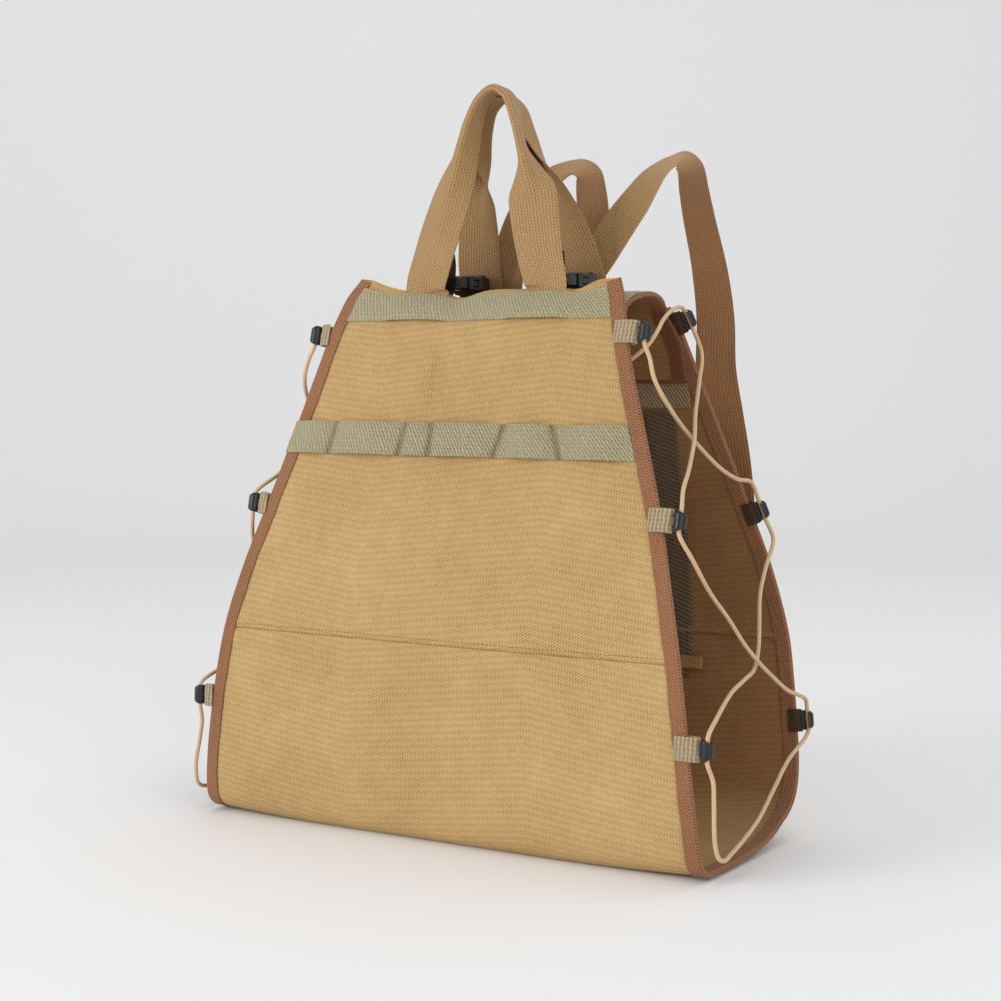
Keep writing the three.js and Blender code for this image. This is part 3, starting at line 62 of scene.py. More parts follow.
# Centripetal curve through rows of numbers, worked out at places that count the rows from 0.
def curveThrough(rows, places):
    rows = np.asarray(rows, float)
    places = np.asarray(places, float)
    padded = np.vstack([2 * rows[:1] - rows[1:2], rows, 2 * rows[-1:] - rows[-2:-1]])
    k = np.clip(np.floor(places).astype(int), 0, len(rows) - 2)
    t = (places - k)[..., None]
    p = [padded[k + i] for i in range(4)]
    gap = [np.maximum(np.linalg.norm(p[i + 1] - p[i], axis=-1, keepdims=True), 1e-9) ** 0.5
           for i in range(3)]
    start = ((p[1] - p[0]) / gap[0] - (p[2] - p[0]) / (gap[0] + gap[1]) + (p[2] - p[1]) / gap[1]) * gap[1]
    end = ((p[2] - p[1]) / gap[1] - (p[3] - p[1]) / (gap[1] + gap[2]) + (p[3] - p[2]) / gap[2]) * gap[1]
    second = 3 * (p[2] - p[1]) - 2 * start - end
    third = 2 * (p[1] - p[2]) + start + end
    return p[1] + start * t + second * t ** 2 + third * t ** 3


# Length walked along points, from the first one.
def walked(points):
    steps = np.linalg.norm(np.diff(points, axis=0), axis=-1)
    return np.concatenate([[0.0], np.cumsum(steps)])


# Rows of numbers that are known at some lengths, read off at others.
def readOff(at, length, rows):
    return np.stack([np.interp(at, length, column) for column in rows.T], axis=1)


# The same line with its points at equal steps.
def evenly(points, count):
    length = walked(points)
    return readOff(np.linspace(0, length[-1], count), length, points)


# Meshes

pieces = {}


# shade is painted shade: where it is 1 the cloth's colour is darkened as if in shade, as on its inner side
def makeMesh(name, points, faces, uv, material, slot, replaces=(), shade=None):
    mesh = bpy.data.meshes.new(name)
    mesh.from_pydata(((points + bagShift) * 0.001).tolist(), [], faces)
    loopVertex = np.empty(len(mesh.loops), dtype=np.int32)
    mesh.loops.foreach_get("vertex_index", loopVertex)
    layer = mesh.uv_layers.new(name="UVMap")
    layer.data.foreach_set("uv", (uv * 0.001)[loopVertex].astype(np.float32).ravel())
    if shade is not None:
        mesh.attributes.new("shade", "FLOAT", "POINT").data.foreach_set("value", shade.astype(np.float32))
    bm = bmesh.new()
    bm.from_mesh(mesh)
    bmesh.ops.recalc_face_normals(bm, faces=bm.faces)
    bm.to_mesh(mesh)
    bm.free()
    mesh.polygons.foreach_set("use_smooth", np.ones(len(mesh.polygons), dtype=bool))
    mesh.set_sharp_from_angle(angle=math.radians(62))
    mesh.materials.append(material)
    piece = bpy.data.objects.new(name, mesh)
    bpy.context.scene.collection.objects.link(piece)
    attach(piece, "root")
    if replaces:
        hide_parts(*replaces)
    pieces[name] = piece
    return piece


# One closed slab: middle[i, j] is a grid of points in the middle of the cloth and normal[i, j] its
# direction, thickness is one number or a grid. Both long edges are rounded by a nose that stands out by
# half the thickness times edgeRound. Returns points, faces and uv; uv is the run across and along the
# cloth in millimetres.
def slab(middle, normal, thickness, edgeRound=0.6, across=None, along=None):
    n, m = middle.shape[:2]
    half = np.broadcast_to(np.asarray(thickness, float) / 2, (n, m))[..., None]
    top = middle + normal * half
    bottom = middle - normal * half
    leftOut = unit(middle[:, :1] - middle[:, 1:2]) * half[:, :1] * edgeRound
    rightOut = unit(middle[:, -1:] - middle[:, -2:-1]) * half[:, -1:] * edgeRound
    noses = middle[:, -1:] + rightOut, middle[:, :1] + leftOut
    points = np.concatenate([top, noses[0], bottom[:, ::-1], noses[1]], axis=1)
    if across is None:
        across = walked(middle[n // 2])
    if along is None:
        along = walked(middle[:, m // 2])
    u = np.concatenate([across, across[-1:], across[::-1], across[:1]])
    uv = np.stack(np.broadcast_arrays(u[None, :], along[:, None]), axis=-1)
    ring = 2 * m + 2
    j = np.arange(ring)
    i = np.arange(n - 1)[:, None]
    a = i * ring + j
    b = i * ring + (j + 1) % ring
    walls = np.stack([a, b, b + ring, a + ring], axis=-1).reshape(-1, 4)
    k = np.arange(m - 1)
    faces = walls.tolist()
    for row in (0, n - 1):
        base = row * ring
        upper, lower = base + k, base + 2 * m - k
        faces += np.stack([upper, upper + 1, lower - 1, lower], axis=-1).tolist()
        faces.append([base + m - 1, base + m, base + m + 1])
        faces.append([base, base + 2 * m, base + 2 * m + 1])
    return points.reshape(-1, 3), faces, uv.reshape(-1, 2)


# Several shapes in one mesh.
def joined(parts):
    points, faces, uv, count = [], [], [], 0
    for partPoints, partFaces, partUv in parts:
        points.append(partPoints)
        uv.append(partUv)
        faces += [[v + count for v in face] for face in partFaces]
        count += len(partPoints)
    return np.concatenate(points), faces, np.concatenate(uv)


# A section line carried through frames: line[i, j] holds its two coordinates along first[i] and second[i].
def carried(origin, first, second, line):
    points = origin[:, None] + first[:, None] * line[..., :1] + second[:, None] * line[..., 1:]
    run = unit(np.gradient(line, axis=-2))
    normal = first[:, None] * -run[..., 1:] + second[:, None] * run[..., :1]
    return points, normal


# Points and outward directions along flat webbing: path[k, 3] is its middle line and wide[k, 3] points
# across it. Both are read at equal steps, and the direction across is the mean of nine steps.
def webbingGrid(path, wide, width, rows, columns=11):
    places = np.linspace(0, len(path) - 1, 30 * len(path))
    line = curveThrough(path, places)
    length = walked(line)
    at = np.linspace(0, length[-1], rows)
    origin = readOff(at, length, line)
    first = readOff(at, length, readOff(places, np.arange(len(path)), wide))
    mean = np.ones(9) / 9
    first = np.stack([np.convolve(np.pad(part, 4, mode="edge"), mean, "valid") for part in first.T], axis=1)
    alongRun = unit(np.gradient(origin, axis=0))
    first = squareTo(first, alongRun)
    second = np.cross(alongRun, first)
    across = np.linspace(-width / 2, width / 2, columns)
    section = np.stack([across, 0 * across], axis=-1)
    middle, normal = carried(origin, first, second, np.broadcast_to(section, (rows, columns, 2)))
    return middle, normal, across, at


# A round tube along a path: a circle in the plane of the sideways direction and the one square to it. Its
# ends are rounded off. The path never runs along X, so X serves as the sideways direction all along.
def tubeShape(path, radius, sides, inward):
    alongRun = unit(np.gradient(path, axis=0))
    sideways = np.array([inward, 0.0, 0.0])
    first = unit(sideways - alongRun * (alongRun @ sideways)[:, None])
    second = np.cross(alongRun, first)
    run = walked(path)
    toEnd = np.clip(np.minimum(run, run[-1] - run) / radius, 0, 1)
    size = radius * np.sqrt(np.clip(1 - (1 - toEnd) ** 2, 0.02, 1))[:, None, None]
    angle = 2 * math.pi * np.arange(sides) / sides
    circle = first[:, None] * np.cos(angle)[None, :, None] + second[:, None] * np.sin(angle)[None, :, None]
    points = (path[:, None] + circle * size).reshape(-1, 3)
    i = np.arange(len(path) - 1)[:, None] * sides
    j = np.arange(sides)[None, :]
    a, b = i + j, i + (j + 1) % sides
    faces = np.stack([a, b, b + sides, a + sides], axis=-1).reshape(-1, 4).tolist()
    last = (len(path) - 1) * sides
    faces += [list(range(sides)), list(range(last + sides - 1, last - 1, -1))]
    uv = np.stack(np.broadcast_arrays(radius * angle[None, :], run[:, None]), axis=-1).reshape(-1, 2)
    return points, faces, uv


# Stitches along lines: each line is points[k, 3] on the cloth and normals[k, 3]. Every stitch is a small
# bead with six sides, as long as stitch and as thick as thread, sunk a little into the cloth.
def stitchBeads(lines, pitch, stitch, thread, sink=0.15):
    angle = np.arange(6) * math.pi / 3
    profile = np.array([[-0.5, 0.0], [-0.42, 0.75], [0.0, 1.0], [0.42, 0.75], [0.5, 0.0]])
    beads = []
    for points, normals in lines:
        length = walked(points)
        count = max(1, int(length[-1] / pitch))
        at = (np.arange(count) + 0.5) * length[-1] / count
        centre = readOff(at, length, points)
        along = unit(readOff(at + stitch / 2, length, points) - readOff(at - stitch / 2, length, points))
        normal = squareTo(readOff(at, length, normals), along)
        side = np.cross(along, normal)
        beads.append(np.stack([centre - normal * thread * sink, along, side, normal], axis=1))
    frames = np.concatenate(beads)
    ring = profile[1:-1]
    local = np.concatenate([
        [[-0.5 * stitch, 0, 0]],
        np.stack([
            np.repeat(ring[:, 0], 6) * stitch,
            np.repeat(ring[:, 1], 6) * np.tile(np.cos(angle), 3) * thread / 2,
            np.repeat(ring[:, 1], 6) * np.tile(np.sin(angle), 3) * thread / 2,
        ], axis=1),
        [[0.5 * stitch, 0, 0]],
    ])
    points = frames[:, None, 0] + sum(local[None, :, i, None] * frames[:, None, i + 1] for i in range(3))
    k = np.arange(6)
    nextK = (k + 1) % 6
    quads = np.concatenate([
        np.stack([1 + 6 * r + k, 1 + 6 * r + nextK, 7 + 6 * r + nextK, 7 + 6 * r + k], axis=-1)
        for r in range(2)])
    ends = np.concatenate([
        np.stack([np.zeros(6, int), 1 + nextK, 1 + k], axis=-1),
        np.stack([np.full(6, 19), 13 + k, 13 + nextK], axis=-1)])
    shift = (np.arange(len(frames)) * 20)[:, None, None]
    faces = (quads[None] + shift).reshape(-1, 4).tolist() + (ends[None] + shift).reshape(-1, 3).tolist()
    flat = points.reshape(-1, 3)
    return flat, faces, flat[:, :2]


# Materials

def addNode(tree, kind, **settings):
    node = tree.nodes.new(kind)
    for key, value in settings.items():
        setattr(node, key, value)
    return node


def feed(tree, socket, value):
    if isinstance(value, bpy.types.NodeSocket):
        tree.links.new(value, socket)
    else:
        socket.default_value = value


def maths(tree, operation, a, b=0.0, c=0.0):
    node = addNode(tree, "ShaderNodeMath", operation=operation)
    for socket, value in zip(node.inputs, (a, b, c)):
        feed(tree, socket, value)
    return node.outputs[0]


def clamped(tree, value):
    return maths(tree, "MINIMUM", maths(tree, "MAXIMUM", value, 0.0), 1.0)


def mixColour(tree, factor, a, b, blend="MIX"):
    node = addNode(tree, "ShaderNodeMix", data_type="RGBA", blend_type=blend)
    for socket, value in zip((node.inputs[0], node.inputs[6], node.inputs[7]), (factor, a, b)):
        feed(tree, socket, value)
    return node.outputs[2]


def noise(tree, vector, scale, detail=2.0, roughness=0.5):
    node = addNode(tree, "ShaderNodeTexNoise")
    feed(tree, node.inputs["Vector"], vector)
    node.inputs["Scale"].default_value = scale
    node.inputs["Detail"].default_value = detail
    node.inputs["Roughness"].default_value = roughness
    return node.outputs["Fac"]


# Threads of a weave from the cloth's own UV, in metres. Slanted lines at Pitch turn back at every Column,
# which gives herringbone; a wide Column gives twill. Wobble bends the threads. Height is 0 between
# threads, 1 on them.
def buildWeaveGroup():
    group = bpy.data.node_groups.new("woven threads", "ShaderNodeTree")
    face = group.interface
    face.new_socket("Vector", in_out="INPUT", socket_type="NodeSocketVector")
    for name, value in (("Pitch", 0.001), ("Slant", 1.0), ("Column", 1.0), ("Cross", 0.5), ("Wobble", 0.2)):
        face.new_socket(name, in_out="INPUT", socket_type="NodeSocketFloat").default_value = value
    face.new_socket("Height", in_out="OUTPUT", socket_type="NodeSocketFloat")
    face.new_socket("Fibre", in_out="OUTPUT", socket_type="NodeSocketFloat")
    start = addNode(group, "NodeGroupInput")
    end = addNode(group, "NodeGroupOutput")
    split = addNode(group, "ShaderNodeSeparateXYZ")
    group.links.new(start.outputs["Vector"], split.inputs[0])
    bend = maths(group, "SUBTRACT", noise(group, start.outputs["Vector"], 260, 2), 0.5)
    bend = maths(group, "MULTIPLY", bend, start.outputs["Wobble"])
    u = maths(group, "DIVIDE", split.outputs[0], start.outputs["Pitch"])
    v = maths(group, "DIVIDE", split.outputs[1], start.outputs["Pitch"])
    column = maths(group, "DIVIDE", start.outputs["Column"], start.outputs["Pitch"])
    zigzag = maths(group, "PINGPONG", u, column)
    phase = maths(group, "MULTIPLY_ADD", zigzag, start.outputs["Slant"], v)
    phase = maths(group, "ADD", phase, bend)
    main = maths(group, "SINE", maths(group, "MULTIPLY", phase, 2 * math.pi))
    cross = maths(group, "SINE", maths(group, "MULTIPLY", maths(group, "ADD", u, bend), 2 * math.pi))
    cross = maths(group, "MULTIPLY", cross, start.outputs["Cross"])
    height = maths(group, "ADD", main, cross)
    total = maths(group, "MULTIPLY_ADD", start.outputs["Cross"], 2.0, 2.0)
    height = maths(group, "ADD", maths(group, "DIVIDE", height, total), 0.5)
    group.links.new(height, end.inputs["Height"])
    group.links.new(noise(group, start.outputs["Vector"], 1500, 3, 0.6), end.inputs["Fibre"])
    return group


# Slow and fast changes of tone over the piece, from Object coordinates. Tone is about 0.5 on average.
def buildToneGroup():
    group = bpy.data.node_groups.new("uneven tone", "ShaderNodeTree")
    face = group.interface
    face.new_socket("Vector", in_out="INPUT", socket_type="NodeSocketVector")
    face.new_socket("Tone", in_out="OUTPUT", socket_type="NodeSocketFloat")
    face.new_socket("Mottle", in_out="OUTPUT", socket_type="NodeSocketFloat")
    start = addNode(group, "NodeGroupInput")
    end = addNode(group, "NodeGroupOutput")
    slow = noise(group, start.outputs["Vector"], 9, 3, 0.55)
    fast = noise(group, start.outputs["Vector"], 70, 4, 0.6)
    blend = maths(group, "MULTIPLY_ADD", fast, 0.35, maths(group, "MULTIPLY", slow, 0.65))
    group.links.new(blend, end.inputs["Tone"])
    group.links.new(fast, end.inputs["Mottle"])
    return group


weaveGroup = buildWeaveGroup()
toneGroup = buildToneGroup()


def useGroup(tree, group, **values):
    node = addNode(tree, "ShaderNodeGroup", node_tree=group)
    for key, value in values.items():
        feed(tree, node.inputs[key], value)
    return node


# A cloth finish: light is the thread on top, dark the gaps between threads.
# lines, where given, is a second, coarser weave that only changes the tone.
def clothMaterial(name, light, dark, worn, pitch, slant, column, cross, wobble, depth, contrast, roughness,
                  sheen, lines=None):
    material = bpy.data.materials.new(name)
    material.use_nodes = True
    tree = material.node_tree
    shader = tree.nodes["Principled BSDF"]
    uv = addNode(tree, "ShaderNodeUVMap", uv_map="UVMap").outputs[0]
    place = addNode(tree, "ShaderNodeTexCoord").outputs["Object"]
    weave = useGroup(tree, weaveGroup, Vector=uv, Pitch=pitch, Slant=slant, Column=column, Cross=cross,
                     Wobble=wobble)
    tone = useGroup(tree, toneGroup, Vector=place)
    fromMiddle = maths(tree, "SUBTRACT", weave.outputs["Height"], 0.5)
    thread = maths(tree, "MULTIPLY_ADD", fromMiddle, contrast, 0.62)
    thread = maths(tree, "ADD", thread, maths(tree, "MULTIPLY_ADD", weave.outputs["Fibre"], 0.5, -0.25))
    colour = mixColour(tree, clamped(tree, thread), (*dark, 1), (*light, 1))
    wear = maths(tree, "MULTIPLY_ADD", maths(tree, "SUBTRACT", tone.outputs["Tone"], 0.47), 3.2, 0.35)
    colour = mixColour(tree, maths(tree, "MULTIPLY", clamped(tree, wear), 0.55), colour, (*worn, 1))
    if lines:
        coarse = useGroup(tree, weaveGroup, Vector=uv, **lines)
        band = maths(tree, "MULTIPLY_ADD", coarse.outputs["Height"], 0.16, 0.92)
        colour = mixColour(tree, 1.0, colour, band, "MULTIPLY")
    # Painted shade: the shade attribute mixes the colour towards a darker, browner copy of itself
    shade = addNode(tree, "ShaderNodeAttribute", attribute_name="shade").outputs["Fac"]
    inner = mixColour(tree, 1.0, colour, (0.6, 0.46, 0.4, 1), "MULTIPLY")
    colour = mixColour(tree, shade, colour, inner)
    feed(tree, shader.inputs["Base Color"], colour)
    rough = maths(tree, "MULTIPLY_ADD", tone.outputs["Mottle"], -0.16, roughness + 0.08)
    feed(tree, shader.inputs["Roughness"], rough)
    shader.inputs["Specular IOR Level"].default_value = 0.22
    shader.inputs["Sheen Weight"].default_value = sheen
    shader.inputs["Sheen Roughness"].default_value = 0.45
    bump = addNode(tree, "ShaderNodeBump")
    bump.inputs["Strength"].default_value = 1.0
    bump.inputs["Distance"].default_value = 0.001
    lift = maths(tree, "MULTIPLY", weave.outputs["Height"], depth)
    lift = maths(tree, "ADD", lift, maths(tree, "MULTIPLY", weave.outputs["Fibre"], depth * 0.35))
    feed(tree, bump.inputs["Height"], lift)
    tree.links.new(bump.outputs[0], shader.inputs["Normal"])
    return material


def plasticMaterial(name, colour, roughness):
    material = bpy.data.materials.new(name)
    material.use_nodes = True
    tree = material.node_tree
    shader = tree.nodes["Principled BSDF"]
    place = addNode(tree, "ShaderNodeTexCoord").outputs["Object"]
    tone = useGroup(tree, toneGroup, Vector=place)
    mottle = tone.outputs["Mottle"]
    paler = tuple(c * 1.9 for c in colour)
    feed(tree, shader.inputs["Base Color"], mixColour(tree, mottle, (*colour, 1), (*paler, 1)))
    feed(tree, shader.inputs["Roughness"], maths(tree, "MULTIPLY_ADD", mottle, 0.2, roughness - 0.1))
    shader.inputs["Specular IOR Level"].default_value = 0.5
    grain = noise(tree, place, 900, 3, 0.6)
    bump = addNode(tree, "ShaderNodeBump")
    bump.inputs["Strength"].default_value = 0.5
    bump.inputs["Distance"].default_value = 0.0001
    feed(tree, bump.inputs["Height"], grain)
    tree.links.new(bump.outputs[0], shader.inputs["Normal"])
    return material


canvasCloth = clothMaterial(
    "waxed canvas", light=(0.57, 0.375, 0.158), dark=(0.29, 0.18, 0.066), worn=(0.61, 0.415, 0.185),
    pitch=0.0024, slant=0.75, column=4.0, cross=0.6, wobble=0.5, depth=0.22, contrast=1.5, roughness=0.8,
    sheen=0.1, lines={"Pitch": 0.005, "Slant": 0.12, "Column": 0.16, "Cross": 0.0, "Wobble": 1.1})
tapeCloth = clothMaterial(
    "rust herringbone tape", light=(0.43, 0.2, 0.098), dark=(0.1, 0.04, 0.018), worn=(0.37, 0.17, 0.082),
    pitch=0.0022, slant=1.0, column=0.0027, cross=0.5, wobble=0.9, depth=0.5, contrast=2.9, roughness=0.82,
    sheen=0.1)
sageCloth = clothMaterial(
    "sage ribbed webbing", light=(0.45, 0.4, 0.25), dark=(0.15, 0.115, 0.062), worn=(0.42, 0.37, 0.225),
    pitch=0.003, slant=0.6, column=0.03, cross=0.3, wobble=1.1, depth=0.6, contrast=1.1, roughness=0.74,
    sheen=0.2)
tanCloth = clothMaterial(
    "tan webbing", light=(0.53, 0.325, 0.145), dark=(0.2, 0.11, 0.045), worn=(0.48, 0.295, 0.133),
    pitch=0.0025, slant=0.9, column=0.005, cross=0.8, wobble=0.6, depth=0.55, contrast=1.6, roughness=0.76,
    sheen=0.15)
# Dark brown webbing; its colour also holds painted shade, as the back tabs and the buckle tails sit in shade
shadedDarkCloth = clothMaterial(
    "dark brown webbing", light=(0.07, 0.038, 0.02), dark=(0.02, 0.011, 0.006), worn=(0.08, 0.045, 0.025),
    pitch=0.0024, slant=0.8, column=0.0058, cross=0.7, wobble=0.5, depth=0.4, contrast=1.2, roughness=0.8,
    sheen=0.08)
# The next two are webbing with painted shade in their colours, for the parts inside the back panel and the
# buckles' rear loops
shadedOliveCloth = clothMaterial(
    "shaded olive webbing", light=(0.19, 0.135, 0.076), dark=(0.06, 0.038, 0.02), worn=(0.145, 0.11, 0.07),
    pitch=0.0034, slant=0.35, column=0.03, cross=0.3, wobble=0.9, depth=0.5, contrast=1.3, roughness=0.8,
    sheen=0.08)
shadedTanCloth = clothMaterial(
    "shaded tan webbing", light=(0.42, 0.31, 0.19), dark=(0.14, 0.09, 0.05), worn=(0.36, 0.26, 0.15),
    pitch=0.003, slant=0.6, column=0.03, cross=0.3, wobble=0.8, depth=0.6, contrast=1.6, roughness=0.8,
    sheen=0.1)
cordCloth = clothMaterial(
    "braided cream cord", light=(0.88, 0.64, 0.4), dark=(0.45, 0.27, 0.135), worn=(0.75, 0.5, 0.29),
    pitch=0.0019, slant=1.0, column=0.002, cross=0.2, wobble=0.3, depth=0.35, contrast=1.1, roughness=0.7,
    sheen=0.15)
threadFinish = {"pitch": 0.0006, "slant": 1.0, "column": 1.0, "cross": 0.0, "wobble": 0.2, "depth": 0.1,
                "contrast": 0.8, "roughness": 0.6, "sheen": 0.1}
canvasThread = clothMaterial(
    "golden thread", light=(0.5, 0.31, 0.11), dark=(0.3, 0.17, 0.055), worn=(0.5, 0.31, 0.12),
    **threadFinish)
sageThread = clothMaterial(
    "sage thread", light=(0.55, 0.52, 0.34), dark=(0.3, 0.27, 0.15), worn=(0.5, 0.46, 0.28), **threadFinish)
seamThread = clothMaterial(
    "brown seam thread", light=(0.3, 0.17, 0.055), dark=(0.14, 0.07, 0.02), worn=(0.26, 0.14, 0.045),
    **threadFinish)
tabCloth = clothMaterial(
    "ribbed tab webbing", light=(0.5, 0.4, 0.245), dark=(0.17, 0.115, 0.06), worn=(0.42, 0.33, 0.2),
    pitch=0.0031, slant=0.05, column=0.03, cross=0.3, wobble=0.7, depth=0.8, contrast=1.3, roughness=0.76,
    sheen=0.2)
rustThread = clothMaterial(
    "rust thread", light=(0.42, 0.2, 0.1), dark=(0.2, 0.09, 0.045), worn=(0.36, 0.17, 0.085),
    **threadFinish)
blackPlastic = plasticMaterial("black moulded plastic", (0.006, 0.006, 0.007), 0.32)

# Camera

view = {
    "place": (802.8, -1203.4, 355.1),
    "target": (56.7, 0.0, 261.6),
    "lens": 69.84,
    "sensor": 36.0,
}


def addCamera():
    data = bpy.data.cameras.new("photo camera")
    data.lens = view["lens"]
    data.sensor_width = view["sensor"]
    data.clip_start = 0.05
    camera = bpy.data.objects.new("photo camera", data)
    place = Vector(((np.array(view["place"]) + bagShift) * 0.001).tolist())
    target = Vector(((np.array(view["target"]) + bagShift) * 0.001).tolist())
    camera.location = place
    camera.rotation_euler = (target - place).to_track_quat("-Z", "Y").to_euler()
    bpy.context.scene.collection.objects.link(camera)
    bpy.context.scene.camera = camera


addCamera()
print("camera placed")

# Lacing cords: the right one's points in millimetres, and the left one is its mirror image. Each starts in
# the top front hook, runs through the six hooks of its side and is tucked back in behind the first.

cord = {"diameter": 3.2, "sides": 12, "step": 2.0}
cordRoute = np.array([
    (148.7, 52.5, 390.9), (148.7, 50.6, 384.1), (148.7, 48.8, 377.3), (154, 47.2, 365.4),
    (158.3, 46.9, 349.8), (164.6, 63.9, 325.5), (167.7, 91.8, 305), (177, 116.3, 284.2),
    (180, 141.6, 274.3), (180.9, 167, 269.9), (184.6, 171.3, 257), (187.1, 173.1, 248.9),
    (189.6, 174.9, 240.9), (193.4, 179.7, 227.2), (199.5, 152.1, 206.6), (204.9, 130.2, 188.3),
    (210.1, 117.7, 169.8), (213, 110.4, 152.9), (214.9, 100.1, 138.3), (218, 75.4, 133),
    (220.8, 46.3, 127.2), (223.6, 16.8, 113.7), (227, -3.9, 103.6), (227, -4.3, 95), (227, -4.8, 86.4),
    (229.3, 0, 72.8), (230.8, -1.4, 57.2), (232.5, -4.1, 39.1), (233.2, -3.3, 27.8), (233.9, 0.2, 19.8),
    (234.2, 9.1, 16.2), (234, 20.9, 18.6), (232.9, 40.7, 23.1), (231.4, 71.2, 32.3), (228.8, 105.3, 49.2),
    (226.3, 135.2, 63.8), (224, 180.6, 79.9), (222.7, 181.9, 87.9), (221.5, 183.2, 95.9),
    (221.1, 181.8, 103), (220.8, 168.8, 108.5), (220.4, 147.6, 115.3), (220.1, 118.3, 130.3),
    (220, 92.8, 144.7), (215.9, 79.6, 157.7), (209.6, 65.3, 177.5), (204.4, 44.7, 198.6),
    (198.6, 29.2, 222.1), (191.5, 20.9, 241.8), (191.5, 22.9, 250.2), (191.5, 25, 258.5),
    (183.7, 43.3, 271.8), (179.4, 60.2, 284.2), (174.3, 79.5, 305.5), (166, 97.9, 323.5),
    (156.1, 124.5, 347.8), (148.3, 144.3, 369.8), (142.3, 141.3, 388.6), (139.9, 139.4, 395.4),
    (138.6, 138.4, 399.1), (137.4, 136.4, 402.4), (136.8, 132.9, 404.3), (136.7, 129.6, 404.5),
    (139.5, 110, 401.2), (141.9, 91.4, 393.5), (144.6, 76.8, 384.7), (141.6, 68.5, 375), (135, 63, 367.5),
    (127.5, 58.5, 361)])


def addCords():
    for sideName, sign, inward in (("left", -1, 1.0), ("right", 1, -1.0)):
        route = cordRoute * [sign, 1, 1]
        line = curveThrough(route, np.linspace(0, len(route) - 1, 40 * len(route)))
        path = evenly(line, int(walked(line)[-1] / cord["step"]))
        shape = tubeShape(path, cord["diameter"] / 2, cord["sides"], inward)
        piece = makeMesh(f"lacing_cord_{sideName}", *shape, cordCloth, "cord", (f"cord_{sideName}",))


addCords()
print("cords made")

# The canvas: depth, height and width of its side profile are shares of bodyDepth, bodyHeight and
# baseHalfWidth, lift is how far the side edges curl up, a share of bodyHeight.

body = {"height": 424, "depth": 190, "halfWidth": 223, "canvas": 1.8, "gap": 0.3,
        "curlDepth": 16, "curlDrop": 6, "curlHeight": 34, "cornerRound": 0.55,
        "cornerBack": 7, "cornerUp": 5, "cornerIn": 7}
tape = {"thickness": 1.0, "reach": 10, "nose": 0.5}
sideRows = np.array([
    (0.321, 1.0, 0.552, 0), (0.31, 0.967, 0.571, 0), (0.268, 0.91, 0.601, 0), (0.229, 0.837, 0.641, 0),
    (0.179, 0.715, 0.7175, 0), (0.121, 0.592, 0.794, 0), (0.05, 0.472, 0.861, 0), (0.0, 0.356, 0.915, 0),
    (-0.024, 0.222, 0.955, 0), (-0.026, 0.094, 0.984, 0.004), (-0.008, 0.026, 0.9955, 0.009),
    (0.042, 0.002, 1.0, 0.01), (0.116, 0, 1.0, 0.009), (0.316, 0, 1.0, 0.008), (0.5, 0, 1.0, 0.014),
    (0.626, 0, 0.999, 0.024), (0.716, 0.008, 0.9975, 0.031), (0.795, 0.026, 0.995, 0.027),
    (0.858, 0.053, 0.991, 0.02), (0.903, 0.089, 0.985, 0.013), (0.934, 0.141, 0.975, 0.005),
    (0.958, 0.212, 0.957, 0), (0.979, 0.283, 0.937, 0), (0.989, 0.356, 0.915, 0), (0.968, 0.472, 0.861, 0),
    (0.908, 0.592, 0.794, 0), (0.853, 0.715, 0.7175, 0), (0.792, 0.837, 0.641, 0), (0.753, 0.9, 0.605, 0),
    (0.726, 0.943, 0.58, 0), (0.708, 0.964, 0.562, 0)])
frontSeam, backSeam, lastRow = 7, 23, 30
# Soft dents: side, across (share of the half width), height, inward (share of bodyDepth), spread in x and z
dentRows = [
    ("front", -0.125, 0.845, 0.016, 0.03, 0.06),
    ("front", 0.25, 0.8, -0.012, 0.25, 0.08),
    ("front", 0.1, 0.45, -0.02, 0.5, 0.2),
    ("front", -0.75, 0.2, -0.015, 0.3, 0.15),
    ("back", 0.1, 0.4, -0.03, 0.5, 0.25),
    ("back", 0.35, 0.75, 0.012, 0.2, 0.1),
]
topDips = [(-0.21, 0.012, 0.06), (0.69, 0.009, 0.06)]  # across, drop, spread
liftRows = np.stack([np.arange(31) / lastRow, sideRows[:, 3], np.arange(31) / lastRow], axis=1)


def profileAt(s):
    return curveThrough(sideRows[:, :3], np.clip(s, 0, lastRow))


def canvasHalfWidth(s):
    return profileAt(s)[..., 2] * body["halfWidth"] - tape["thickness"] - tape["nose"] - body["gap"]


